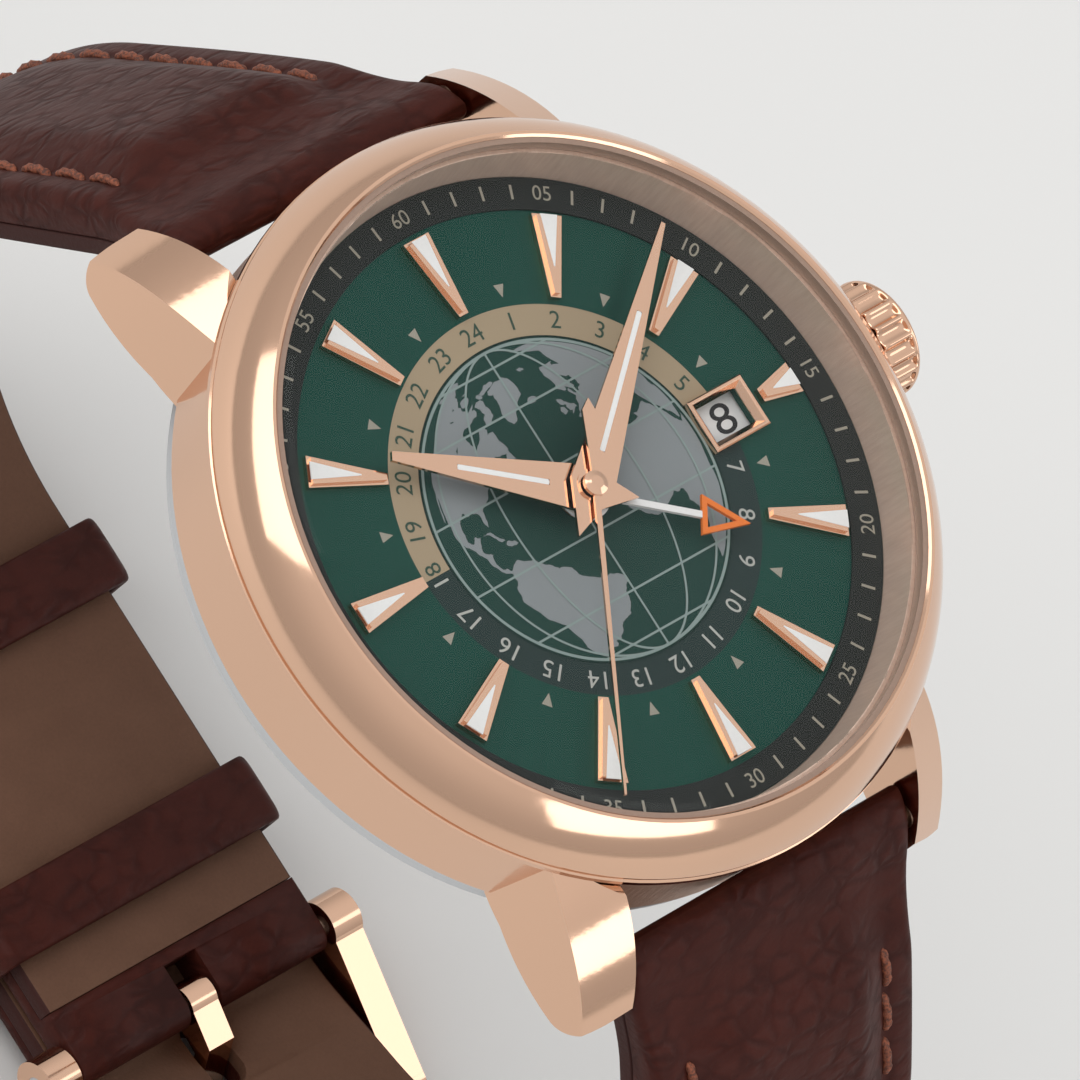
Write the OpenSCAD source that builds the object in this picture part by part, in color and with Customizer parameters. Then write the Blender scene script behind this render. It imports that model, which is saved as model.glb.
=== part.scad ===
// Wrist watch with a second time zone, on a buckled leather strap.
// The frame stands on z = 0 under the centre of the dial.
// X runs towards 3 o'clock and the crown, Y towards 12 o'clock, Z out of the dial.

/* [Case] */
// Diameter of the middle case
drum_d = 40.6; // [40:0.1:41]
// Height of the middle case below the bezel seat
drum_h = 5; // [4.9:0.05:5.3]
// Outside diameter of the neck that carries the bezel
neck_d = 39.4; // [39:0.1:39.6]
// Bore of the middle case
case_bore_d = 38.2; // [38:0.1:38.4]
// Width between the lugs
lug_gap = 20.5; // [20:0.5:21]
// Distance from a spring bar to the end of its lug
lug_end = 1.6; // [1.4:0.1:2]
// Distance of a lug's outer flank from the middle plane of the watch
lug_out = 13; // [12.8:0.1:13.2]
// Lean of a lug's outer flank
lug_lean = 12; // [10:1:14]
// Fall of a lug's top face from its inner edge to its outer flank
lug_fall = 30; // [28:1:32]
// Distance from the dial centre to a spring bar
bar_out = 21.9; // [21.8:0.05:22]
// Depth of the spring bars below the dial
bar_drop = 5.2; // [5.1:0.05:5.4]

/* [Bezel and crystal] */
// Diameter of the bezel
bezel_d = 41.8; // [41.6:0.1:42.4]
// Height of the bezel above the dial
bezel_h = 3.4; // [3.3:0.05:3.6]
// Diameter of the crystal
crystal_d = 36.6; // [36.4:0.1:36.8]
// Thickness of the crystal
crystal_t = 1.3; // [1.1:0.1:1.5]
// Radial thickness of the crystal gasket
crystal_seal_t = 0.3; // [0.25:0.05:0.35]
// Height of the crystal's polished edge chamfer
crystal_chamfer = 0.3; // [0.2:0.05:0.4]

/* [Case back] */
// Diameter of the case back
back_d = 40.2; // [39.8:0.1:40.4]
// Height of the case back below the middle case
back_h = 1.6; // [1.5:0.05:1.8]
// Width of the case back's steel ring round its window
back_ring_w = 5.1; // [4.7:0.1:5.5]
// Thickness of the back window
window_t = 1; // [0.9:0.05:1.1]
// Number of wrench notches in the case back
back_notches = 6; // [4:1:8]

/* [Dial] */
// Thickness of the dial
dial_t = 0.4; // [0.3:0.05:0.45]
// Height of the flange round the dial
flange_h = 2.35; // [2.2:0.05:2.4]
// Radius of the flange at the dial
flange_r = 17.7; // [17.5:0.05:17.8]
// Radius of the inner edge of the minute ring
minute_ring_r = 15.9; // [15.7:0.05:16]
// Thickness of the minute ring
minute_ring_t = 0.12; // [0.08:0.02:0.16]
// Radius at the outer end of the hour markers
marker_out_r = 15.57; // [15.4:0.01:15.6]
// Length of the hour markers
marker_l = 4.6; // [4.2:0.1:4.8]
// Length of the short marker beside the date
marker_short_l = 2.45; // [2.2:0.05:2.6]
// Width of an hour marker at its outer end
marker_w = 1.75; // [1.6:0.05:1.9]
// Width of an hour marker at its inner end
marker_tip_w = 0.6; // [0.5:0.05:0.7]
// Height of the hour markers
marker_h = 0.6; // [0.5:0.05:0.7]
// Distance of the date window from the dial centre
date_r = 10.75; // [10.7:0.01:10.8]
// Width of the date frame along X
date_frame_w = 3.86; // [3.8:0.02:3.9]
// Height of the date frame along Y
date_frame_h = 3; // [2.9:0.05:3.1]
// Thickness of the date frame's rim
date_rim = 0.5; // [0.45:0.05:0.55]

/* [Hands] */
// Height of the 24-hour hand above the dial
gmt_z = 0.75; // [0.7:0.05:0.8]
// Height of the hour hand above the dial
hour_z = 1.2; // [1.15:0.05:1.25]
// Height of the minute hand above the dial
minute_z = 1.65; // [1.6:0.05:1.7]
// Height of the seconds hand above the dial
second_z = 2.05; // [2:0.05:2.1]
// Thickness of a hand
hand_t = 0.22; // [0.2:0.02:0.26]
// Length of the hour hand
hour_l = 11.2; // [10.8:0.1:11.6]
// Length of the minute hand
minute_l = 16.2; // [15.8:0.1:16.5]
// Length of the seconds hand
second_l = 17; // [16.5:0.1:17.2]
// Length of the 24-hour hand
gmt_l = 9.5; // [9:0.1:10]
// Direction of the hour hand, in degrees past 12 o'clock
hour_at = 304.3; // [0:0.1:360]
// Direction of the minute hand, in degrees past 12 o'clock
minute_at = 51.6; // [0:0.1:360]
// Direction of the seconds hand, in degrees past 12 o'clock
second_at = 211.4; // [0:0.1:360]
// Direction of the 24-hour hand, in degrees past 12 o'clock
gmt_at = 125.5; // [0:0.1:360]

/* [Movement] */
// Diameter of the movement
move_d = 25.6; // [25.4:0.1:25.8]
// Depth of the movement's bridges below the dial
move_depth = 4.2; // [4.15:0.05:4.3]
// Thickness of a bridge
bridge_t = 1; // [0.9:0.05:1]
// Radius of the barrel
barrel_r = 4.5; // [4.4:0.05:4.5]
// Radius of the balance wheel
balance_r = 4; // [3.8:0.05:4]
// Turns of the hairspring
spring_turns = 4; // [3:1:4]
// Radius of the first turn of the hairspring
spring_in_r = 0.62; // [0.6:0.01:0.64]
// Pitch of the hairspring's turns
spring_pitch = 0.6; // [0.56:0.02:0.62]
// Thickness of the hairspring's strip
spring_t = 0.1; // [0.08:0.01:0.12]
// Radius of the winding rotor
rotor_r = 12.3; // [12:0.1:12.4]
// Width of the rotor's heavy rim
rotor_rim_w = 2.2; // [2:0.1:2.6]
// Angle at which the rotor rests
rotor_at = 180; // [0:5:360]

/* [Crown] */
// Diameter of the crown
crown_d = 6.6; // [6.4:0.1:6.8]
// Length of the crown
crown_l = 3.8; // [3.6:0.1:4]
// Number of flutes round the crown
crown_flutes = 18; // [16:1:20]
// Travel of the crown when it is pulled
crown_pull = 1.5; // [1.2:0.1:1.6]
// Depth of the winding stem below the dial
stem_drop = 2.5; // [2.45:0.05:2.55]

/* [Strap] */
// Width of the strap at the buckle
strap_end_w = 18; // [17:0.5:19]
// Gap between the strap and a lug
strap_side_gap = 0.2; // [0.15:0.05:0.3]
// Width that the strap loses just past a spring bar
strap_neck = 1.4; // [1.2:0.1:1.6]
// Thickness of the strap's lining
lining_t = 1; // [0.8:0.1:1.1]
// Height of the padding above the strap's middle line
pad_h = 3.2; // [2.8:0.1:3.4]
// Thickness of the short strap past its padding
thin_t = 2.4; // [2.3:0.05:2.5]
// Thickness of the long strap past its padding
tail_t = 2.2; // [2.1:0.05:2.3]
// Angle at which the 12 o'clock strap leaves the case
leave_12 = 59; // [57:1:61]
// Angle at which the 6 o'clock strap leaves the case
leave_6 = 47; // [45:1:50]
// Length over which the 12 o'clock strap stays straight
straight_12 = 22; // [18:1:24]
// Length over which the 6 o'clock strap stays straight
straight_6 = 13.7; // [13.5:0.1:13.9]
// Radius of the lower corners of the buckled loop
corner_r = 18; // [17:0.5:19]
// Angle by which the long strap's end climbs the lower corner
tail_climb = 66; // [58:1:70]
// Spacing of the holes in the long strap
hole_pitch = 7; // [6.5:0.5:8]

/* [Buckle] */
// Thickness of a keeper's wall
keeper_t = 1; // [0.9:0.1:1.2]
// Width of a keeper along the strap
keeper_w = 4; // [3.6:0.2:4.4]
// Distance from the dial centre to the buckle's bar
buckle_at = 8; // [7.8:0.1:8.4]
// Length of the buckle frame ahead of its bar
buckle_l = 9.2; // [9:0.1:9.6]
// Thickness of the buckle frame's arms
buckle_arm_t = 2; // [1.8:0.1:2.2]

/* [Hidden] */
$fn = 64;

// Clearances
slip = 0.05;     // radial gap of parts that slide or turn in each other
strap_gap = 0.1; // gap between leather layers that lie on each other
keeper_fit = 0.15;

// Colours
rose = [0.86, 0.62, 0.5];
steel = [0.75, 0.76, 0.78];
brass = [0.83, 0.68, 0.38];
green = [0.1, 0.3, 0.24];
leather = [0.26, 0.12, 0.11];
ruby = [0.75, 0.1, 0.25];

// Levels of the buckled loop, from the resting plane up
tail_mid_z = keeper_t + keeper_fit + tail_t / 2;
short_mid_z = tail_mid_z + tail_t / 2 + strap_gap + thin_t / 2;
corner_z = short_mid_z + corner_r;

// Strap route of the 12 o'clock side as runs of [radius, turn in degrees]
bend_r = 22;
steep_to = 78;
fall_l = 1.5;
runs_12 = [
    [0, straight_12],
    [bend_r, steep_to - leave_12],
    [0, fall_l],
    [corner_r, 180 - steep_to]
];
function run_y(r, a, b) = r * (sin(-a) - sin(-b));
function run_z(r, a, b) = r * (cos(-b) - cos(-a));
drop_12 = straight_12 * sin(leave_12) - run_z(bend_r, leave_12, steep_to)
    + fall_l * sin(steep_to) - run_z(corner_r, steep_to, 180);
bar_z = short_mid_z + drop_12;
dial_z = bar_z + bar_drop;
stem_z = dial_z - stem_drop;
corner_y = bar_out + straight_12 * cos(leave_12) + run_y(bend_r, leave_12, steep_to)
    + fall_l * cos(steep_to) + run_y(corner_r, steep_to, 180);

// Ends of the lugs and size of the back window
lug_reach = bar_out + lug_end;
window_d = back_d - 2 * back_ring_w;

// Case levels
seat_z = dial_z - 0.3;
drum_z = seat_z - drum_h;
back_z = drum_z - back_h;
neck_h = 2.3;
crystal_seat = flange_h + 0.15;

module at(z) {
    translate([0, 0, z]) children();
}

// A ring between two radii
module ring(r_out, r_in, h) {
    difference() {
        cylinder(r = r_out, h = h);
        translate([0, 0, -1]) cylinder(r = r_in, h = h + 2);
    }
}

// Both lugs of one side and both sides
module each_lug() {
    for (my = [0, 1]) mirror([0, my, 0])
        for (mx = [0, 1]) mirror([mx, 0, 0]) children();
}

// Side outline of a lug, Y to the right and height up, under a round back
lug_arc_y = 13.2;
lug_arc_z = -13.3;
lug_arc_r = 12.4;
lug_tip_r = 1.3;
lug_top_z = -0.5;
module lug_side() {
    tip_y = lug_reach - lug_tip_r;
    tip_z = -bar_drop - 0.8;
    union() {
        translate([tip_y, tip_z]) circle(r = lug_tip_r);
        polygon([
            [10, lug_top_z], [10, -drum_h - 0.3], [16.5, -drum_h - 0.8],
            [tip_y - 0.3, tip_z - lug_tip_r + 0.03], [tip_y, tip_z - lug_tip_r],
            [lug_reach, tip_z], [lug_reach, lug_top_z]
        ]);
    }
}

// Curved outer flank of a lug: part of a cone that widens downwards, about an axis across the case
flank_r = 14;
flank_y = 17;
flank_h = 9;
module lug_flank() {
    grow = flank_h * tan(lug_lean);
    translate([lug_out - flank_r, flank_y, lug_top_z - flank_h])
        cylinder(r1 = flank_r + grow, r2 = flank_r, h = flank_h + 0.1, $fn = 160);
}

module lug() {
    intersection() {
        translate([lug_gap / 2, lug_arc_y, lug_arc_z]) rotate([0, 90 + lug_fall, 0])
            translate([0, 0, -10]) cylinder(r = lug_arc_r, h = 24, $fn = 128);
        translate([lug_gap / 2, 0, 0]) rotate([90, 0, 90]) linear_extrude(height = 9) lug_side();
        lug_flank();
    }
}

module mid_case() {
    hole_r = 0.45;
    hole_deep = 1.2;
    color(rose) difference() {
        union() {
            at(drum_z) cylinder(d = drum_d, h = drum_h, $fn = 128);
            at(seat_z - 0.01) cylinder(d = neck_d, h = neck_h + 0.01, $fn = 128);
            at(dial_z) each_lug() lug();
        }
        at(drum_z - 3) cylinder(d = case_bore_d, h = 12, $fn = 128);
        at(back_z - 1) cylinder(d = back_d + 2 * slip, h = back_h + 1, $fn = 128);
        for (s = [-1, 1]) translate([-lug_gap / 2 - hole_deep, s * bar_out, bar_z])
            rotate([0, 90, 0]) cylinder(r = hole_r, h = lug_gap + 2 * hole_deep, $fn = 32);
        translate([case_bore_d / 2 - 2, 0, stem_z]) rotate([0, 90, 0]) cylinder(r = 1.3, h = 6, $fn = 32);
    }
}

// Centre of the circle of radius r through a and b, on the side of the axis
function arc_centre(a, b, r) = let(
    m = (a + b) / 2,
    d = norm(b - a) / 2,
    u = (b - a) / (2 * d)
) m - sqrt(r * r - d * d) * [u[1], -u[0]];

// Domed bezel with a stepped foot, turned from one profile
module bezel() {
    foot_r = bezel_d / 2;
    lip_r = crystal_d / 2 + crystal_seal_t;
    in_r = neck_d / 2 + slip;
    dome_r = 6.5;
    low = [foot_r - 0.06, 0.5];
    top = [lip_r + 0.3, bezel_h];
    color(rose) at(dial_z) rotate_extrude($fn = 128) {
        intersection() {
            translate(arc_centre(low, top, dome_r)) circle(r = dome_r, $fn = 128);
            polygon([[lip_r, crystal_seat], [in_r, crystal_seat], [in_r, 0.5], [foot_r + 1, 0.5],
                [foot_r + 1, bezel_h], [lip_r + 0.12, bezel_h], [lip_r, bezel_h - 0.12]]);
        }
        polygon([
            [in_r, -0.3], [foot_r - 0.1, -0.3], [foot_r, -0.2], [foot_r, 0.12], [foot_r - 0.22, 0.2],
            [foot_r - 0.22, 0.34], [foot_r - 0.06, 0.42], [foot_r - 0.06, 0.51], [in_r, 0.51]
        ]);
    }
}

// Sapphire disc with a polished chamfer
module crystal() {
    r = crystal_d / 2;
    color([0.8, 0.9, 0.95, 0.3]) at(dial_z + crystal_seat) rotate_extrude($fn = 128) polygon([
        [0, 0], [r, 0], [r, crystal_t - crystal_chamfer], [r - crystal_chamfer, crystal_t],
        [0, crystal_t]
    ]);
}

module crystal_gasket() {
    color([0.9, 0.9, 0.88]) at(dial_z + crystal_seat)
        ring(crystal_d / 2 + crystal_seal_t, crystal_d / 2, bezel_h - crystal_seat - 0.15, $fn = 128);
}

// Leaning wall between the dial and the crystal
module inner_flange() {
    color(rose) at(dial_z) rotate_extrude($fn = 128) polygon([
        [flange_r, 0], [case_bore_d / 2 - slip, 0], [case_bore_d / 2 - slip, flange_h],
        [crystal_d / 2 - 0.2, flange_h + 0.15], [flange_r + 0.35, flange_h + 0.15]
    ]);
}

// Steel back with a ledge for the window and wrench notches round its rim
module case_back() {
    r = back_d / 2;
    neck = case_bore_d / 2 - slip;
    lip_r = window_d / 2 - 0.8;
    color(steel) at(back_z) difference() {
        rotate_extrude($fn = 128) polygon([
            [lip_r + 0.3, 0], [r - 1.6, 0], [r - 1.1, 0.2], [r - 0.2, 0.4], [r, 0.6], [r, back_h],
            [neck, back_h], [neck, back_h + 0.9], [window_d / 2 + 1.6, back_h + 0.9],
            [window_d / 2 + 1.6, back_h - 0.1], [window_d / 2, back_h - 0.1],
            [window_d / 2, 0.45], [lip_r, 0.45], [lip_r, 0.3]
        ]);
        for (i = [0 : back_notches - 1]) rotate([0, 0, i * 360 / back_notches])
            translate([r - 0.9, 0, -0.1]) cylinder(r = 0.8, h = 0.75, $fn = 32);
    }
}

module back_window() {
    color([0.8, 0.9, 0.95, 0.3]) at(back_z + 0.45) cylinder(d = window_d - 2 * slip, h = window_t, $fn = 96);
}

// Sealing ring on top of the case back's neck
module back_gasket() {
    color([0.1, 0.1, 0.1]) at(back_z + back_h + 0.9)
        ring(case_bore_d / 2 - 0.15, case_bore_d / 2 - 0.75, 0.3);
}

// Ring that centres the movement in the case
module movement_holder() {
    low = back_z + back_h + 1.2;
    color([0.5, 0.5, 0.52]) difference() {
        at(low) ring(case_bore_d / 2 - 0.1, move_d / 2 + slip, dial_z - dial_t - low, $fn = 96);
        translate([move_d / 2 - 2, 0, stem_z]) rotate([0, 90, 0]) cylinder(r = 1, h = 10, $fn = 32);
    }
}

// Tube that guides the stem through the case wall
tube_r = 1.3;
tube_in = case_bore_d / 2 + 0.1;
crown_x = bezel_d / 2 + 0.45;
module crown_tube() {
    color(steel) translate([tube_in, 0, stem_z]) rotate([0, 90, 0]) difference() {
        cylinder(r = tube_r - 0.01, h = crown_x + 1.6 - tube_in, $fn = 48);
        translate([0, 0, -1]) cylinder(r = 0.55, h = 8, $fn = 48);
    }
}

// Bar with thin tips that sit in the lug holes
module spring_bar() {
    body = lug_gap - 2 * 0.15;
    tip = 1;
    rotate([0, 90, 0]) {
        translate([0, 0, -body / 2]) cylinder(r = 0.75, h = body, $fn = 32);
        translate([0, 0, -lug_gap / 2 - tip]) cylinder(r = 0.4, h = lug_gap + 2 * tip, $fn = 32);
        for (s = [-1, 1]) translate([0, 0, s * (body / 2 - 1) - 0.15]) cylinder(r = 0.77, h = 0.3, $fn = 32);
    }
}

module spring_bar_12() {
    color(steel) translate([0, bar_out, bar_z]) spring_bar();
}

module spring_bar_6() {
    color(steel) translate([0, -bar_out, bar_z]) spring_bar();
}

// Turns its children from 12 o'clock to an angle past it
module to_angle(a) {
    rotate([0, 0, -a]) children();
}

dial_r = case_bore_d / 2 - 0.2;
window_w = 2.8;
window_h = 2.1;
module dial_plate() {
    color(green) at(dial_z - dial_t) difference() {
        cylinder(r = dial_r, h = dial_t, $fn = 128);
        translate([0, 0, -1]) cylinder(r = 1.05, h = 3, $fn = 48);
        translate([date_r - window_w / 2, -window_h / 2, -1]) cube([window_w, window_h, 3]);
    }
}

module minute_ring() {
    color([0.17, 0.19, 0.19]) at(dial_z)
        ring(flange_r - 0.02, minute_ring_r, minute_ring_t, $fn = 128);
}

// Wedge with two sloping flanks, pointing at the dial centre
module marker(l) {
    flat = 0.16;
    slope = marker_h * 0.35;
    w_in = marker_tip_w + (marker_w - marker_tip_w) * (marker_l - l) / marker_l * 0.3;
    r_in = marker_out_r - l;
    linear_extrude(height = marker_h - slope)
        polygon([[-marker_w / 2, marker_out_r], [marker_w / 2, marker_out_r], [w_in / 2, r_in], [-w_in / 2, r_in]]);
    translate([0, 0, marker_h - slope]) linear_extrude(height = slope)
        polygon([
            [-marker_w / 2 + flat, marker_out_r - flat], [marker_w / 2 - flat, marker_out_r - flat],
            [w_in / 2 - flat, r_in + flat], [-w_in / 2 + flat, r_in + flat]
        ]);
}

module hour_markers() {
    color(rose) at(dial_z) for (h = [0 : 11]) to_angle(30 * h)
        marker(h == 3 ? marker_short_l : marker_l);
}

// Bevelled frame round the date window
module date_frame() {
    w = date_frame_w;
    h = date_frame_h;
    t = 0.5;
    color(rose) translate([date_r, 0, dial_z]) difference() {
        translate([-w / 2, -h / 2, 0]) cube([w, h, t]);
        translate([-w / 2 + date_rim, -h / 2 + date_rim, -1])
            cube([w - 2 * date_rim, h - 2 * date_rim, t + 2]);
        for (a = [0, 90]) rotate([0, 0, a]) for (s = [-1, 1]) {
            half = (a == 0 ? w : h) / 2 - date_rim;
            translate([s * half, 0, t]) rotate([0, 45, 0]) cube([0.3, 6, 0.3], center = true);
        }
    }
}

// White disc that carries the days, running on the main plate
date_disc_r = 12.35;
module date_disc() {
    color([0.93, 0.93, 0.92]) at(dial_z - dial_t - 0.5)
        ring(date_disc_r, 8.7, 0.3, $fn = 128);
}

// Kite outline of a hand with a short pointed tail
module kite(l, half, tip, tail) {
    polygon([[-half, 0], [0, -tail], [half, 0], [tip, l], [-tip, l]]);
}

// A kite hand with its two facets, standing on height z
module kite_hand(l, half, tip, tail, bore, slot_in, slot_out) {
    difference() {
        union() {
            linear_extrude(height = hand_t) difference() {
                kite(l, half, tip, tail);
                translate([-0.15, slot_in]) square([0.3, slot_out - slot_in]);
            }
            translate([0, 0, hand_t / 2]) cylinder(r = half * 0.72, h = hand_t / 2 + 0.05, $fn = 48);
        }
        translate([0, 0, -1]) cylinder(r = bore, h = 3, $fn = 48);
    }
    translate([-0.2, slot_in - 0.05, 0.02]) cube([0.4, slot_out - slot_in + 0.1, hand_t * 0.45]);
}

second_pin_r = 0.12;
cannon_in = 0.2;
cannon_out = 0.4;
hour_in = cannon_out + slip;
hour_out = 0.62;
gmt_in = hour_out + slip;
gmt_out = 0.85;

module hour_hand() {
    color(rose) at(dial_z + hour_z) to_angle(hour_at)
        kite_hand(hour_l, 1.35, 0.25, 2.9, hour_out, 2.25, 7.5);
}

module minute_hand() {
    color(rose) at(dial_z + minute_z) to_angle(minute_at)
        kite_hand(minute_l, 1.25, 0.12, 3.1, cannon_out, 2.1, 10.7);
}

// Needle with a widening, pointed tail and a cap over the centre
module second_hand() {
    tail = 4.7;
    color(rose) at(dial_z + second_z) to_angle(second_at) {
        difference() {
            union() {
                linear_extrude(height = hand_t * 0.8) polygon([
                    [-0.17, 0], [-0.2, -1], [-0.4, -tail + 0.7], [0, -tail], [0.4, -tail + 0.7], [0.2, -1],
                    [0.17, 0], [0.07, second_l], [-0.07, second_l]
                ]);
                cylinder(r = 0.68, h = hand_t, $fn = 48);
                at(hand_t) cylinder(r1 = 0.66, r2 = 0.35, h = 0.12, $fn = 48);
            }
            translate([0, 0, -1]) cylinder(r = second_pin_r, h = 1 + hand_t * 0.7, $fn = 32);
        }
    }
}

// White stem and hub of the 24-hour hand
gmt_base = gmt_l - 2.8;
module gmt_hand() {
    color([0.93, 0.93, 0.92]) at(dial_z + gmt_z) to_angle(gmt_at) difference() {
        union() {
            cylinder(r = 1.5, h = hand_t, $fn = 64);
            translate([-0.18, 0, 0]) cube([0.36, gmt_base + 0.05, hand_t]);
        }
        translate([0, 0, -1]) cylinder(r = gmt_out, h = 3, $fn = 48);
    }
}

// Open orange arrow on the end of the 24-hour hand
module gmt_arrow() {
    half = 1.12;
    wall = 0.3;
    tall = gmt_l - gmt_base;
    side = sqrt(tall * tall + half * half);
    in_top = tall - wall * side / half;
    in_half = (in_top - wall) * half / tall;
    color([0.9, 0.42, 0.1]) at(dial_z + gmt_z) to_angle(gmt_at) translate([0, gmt_base + 0.05, 0])
        linear_extrude(height = hand_t) difference() {
            polygon([[-half, 0], [half, 0], [0, tall]]);
            polygon([[-in_half, wall], [in_half, wall], [0, in_top]]);
        }
}

// Levels in the movement, as depths below the dial
plate_top = 1;
plate_low = move_depth - bridge_t;
pocket_deep = 2;
works_deep = 1.8;
great_deep = 2.85;
third_deep = 3.1;
fourth_deep = 2.6;
escape_deep = 2.3;
fork_t = 0.15;
pallet_deep = 2.53;
pallet_bridge_t = 0.14;
balance_deep = 2.95;
spring_deep = 3.15;
cannon_deep = 1.72;
hour_deep = 1.4;
gmt_deep = 0.95;
wheel_t = 0.15;   // thickness of a train wheel
works_t = 0.22;   // thickness of a wheel under the dial

// Places of the arbors in plan, each at its meshing distance from the one before it
fourth_n = 70;
escape_pinion_n = 7;
fourth_m = 0.07;
third_n = 75;
train_pinion_n = 10;
third_m = 0.075;
centre_n = 80;
centre_m = 0.09;
barrel_n = 77;
centre_pinion_n = 11;
barrel_m = 2 * barrel_r / barrel_n;
function mesh(m, a, b) = m * (a + b) / 2;
function polar(r, a) = [r * cos(a), r * sin(a)];
centre_at = [0, 0];
third_dir = 205;
third_at = polar(mesh(third_m, third_n, train_pinion_n), third_dir);
escape_dir = -70;
escape_at = polar(mesh(fourth_m, fourth_n, escape_pinion_n), escape_dir);
barrel_dir = 138;
barrel_at = polar(7.5, barrel_dir);

// Crossing point of two circles, on the right of the line from a to b
function crossing(a, ra, b, rb) = let(
    d = norm(b - a),
    u = (b - a) / d,
    k = (ra * ra - rb * rb + d * d) / (2 * d),
    h = sqrt(ra * ra - k * k)
) a + k * u + h * [u[1], -u[0]];
great_at = crossing(barrel_at, mesh(barrel_m, barrel_n, centre_pinion_n),
    third_at, mesh(centre_m, centre_n, train_pinion_n));
fork_dir = -20;
fork_at = escape_at + polar(2.75, fork_dir);
balance_at = [5.9, -5.7];

// Motion work under the dial
hour_n = 40;
minute_pinion_n = 10;
hour_m = 0.085;
minute_n = 36;
cannon_n = 12;
minute_mid = mesh(hour_m, hour_n, minute_pinion_n);
cannon_m = 2 * minute_mid / (minute_n + cannon_n);
minute_dir = 20;
minute_wheel_at = polar(minute_mid, minute_dir);
idler_n = 40;
idler_pinion_n = 20;
gmt_n = 40;
idler_mid = mesh(hour_m, hour_n, idler_n);
gmt_m = 2 * idler_mid / (idler_pinion_n + gmt_n);
idler_dir = -110;
idler_at = polar(idler_mid, idler_dir);

// Outline of a toothed wheel: n teeth of module m, one of them at angle a
function tooth(n, m, a) = let(r = m * n / 2, p = 360 / n) [
    for (i = [0 : n - 1], k = [0 : 3])
        let(t = a + p * (i + [-0.24, -0.09, 0.09, 0.24][k]), q = (k == 1 || k == 2) ? r + 0.7 * m : r - 0.95 * m)
            [q * cos(t), q * sin(t)]
];

// Angle of a tooth of wheel b that lets it mesh with wheel a in direction d
function in_mesh(na, a, d, nb) = d + 180 - 360 / nb * (0.5 - (d - a) * na / 360);

module wheel(n, m, a, h, bore = 0) {
    linear_extrude(height = h) difference() {
        polygon(tooth(n, m, a));
        if (bore > 0) circle(r = bore, $fn = 32);
    }
}

// A train wheel with arms between its hub and its rim
module armed_wheel(n, m, a, h, hub, arms) {
    r = n * m / 2;
    rim = r - 4.2 * m;
    linear_extrude(height = h) difference() {
        polygon(tooth(n, m, a));
        difference() {
            circle(r = rim, $fn = 64);
            circle(r = hub, $fn = 32);
            for (i = [0 : arms - 1]) rotate(i * 360 / arms) translate([0, -0.14]) square([rim + 1, 0.28]);
        }
    }
}

function dir_of(a, b) = atan2(b[1] - a[1], b[0] - a[0]);
great_tooth = 0;
third_pin_tooth = in_mesh(centre_n, great_tooth, dir_of(great_at, third_at), train_pinion_n);
fourth_pin_tooth = in_mesh(third_n, third_pin_tooth, third_dir - 180, train_pinion_n);
escape_tooth = in_mesh(fourth_n, fourth_pin_tooth, escape_dir, escape_pinion_n);
great_pin_tooth = great_tooth;
barrel_tooth = in_mesh(centre_pinion_n, great_pin_tooth, dir_of(great_at, barrel_at), barrel_n);

// Places a train part in plan, with its foot at a depth below the dial
module lay(p, depth) {
    translate([p[0], p[1], dial_z - depth]) children();
}

pivot_r = 0.13;
pivot_in = 0.15;
barrel_low = 2.6;
barrel_high = 1.4;
module barrel() {
    color(brass) {
        lay(barrel_at, barrel_low) linear_extrude(height = 0.3) difference() {
            polygon(tooth(barrel_n, barrel_m, barrel_tooth));
            circle(r = 0.5, $fn = 32);
        }
        lay(barrel_at, barrel_low - 0.3) difference() {
            cylinder(r = barrel_r - 0.35, h = barrel_low - 0.3 - barrel_high, $fn = 64);
            at(-1) cylinder(r = 0.5, h = 5, $fn = 32);
        }
        lay(barrel_at, plate_low + 0.4) cylinder(r = 0.5, h = plate_low + 0.4 - barrel_high + 0.1, $fn = 32);
    }
}

// Arbor with its two pivots, from one depth up to another
module arbor(p, low, high, r) {
    lay(p, low) cylinder(r = r, h = low - high, $fn = 24);
    lay(p, low + pivot_in) cylinder(r = pivot_r, h = low - high + 2 * pivot_in, $fn = 24);
}

arbor_low = plate_low - 0.04;
arbor_high = pocket_deep + 0.04;
module center_wheel() {
    color(brass) {
        lay(great_at, great_deep) armed_wheel(centre_n, centre_m, great_tooth, wheel_t, 0.8, 4);
        lay(great_at, great_deep - wheel_t) wheel(centre_pinion_n, barrel_m, great_pin_tooth, 0.5);
        arbor(great_at, arbor_low, arbor_high, 0.25);
    }
}

module third_wheel() {
    color(brass) {
        lay(third_at, third_deep) armed_wheel(third_n, third_m, third_pin_tooth, wheel_t, 0.7, 4);
        lay(third_at, third_deep - wheel_t) wheel(train_pinion_n, centre_m, third_pin_tooth, 0.4);
        arbor(third_at, arbor_low, arbor_high, 0.2);
    }
}

// Seconds wheel, whose arbor runs through the cannon pinion to the seconds hand
module fourth_wheel() {
    color(brass) {
        lay(centre_at, fourth_deep) armed_wheel(fourth_n, fourth_m, fourth_pin_tooth, wheel_t, 0.6, 4);
        lay(centre_at, third_deep + 0.05) wheel(train_pinion_n, third_m, fourth_pin_tooth, 0.55);
        lay(centre_at, arbor_low + pivot_in)
            cylinder(r = second_pin_r, h = arbor_low + pivot_in + second_z + hand_t * 0.7, $fn = 32);
    }
}

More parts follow.
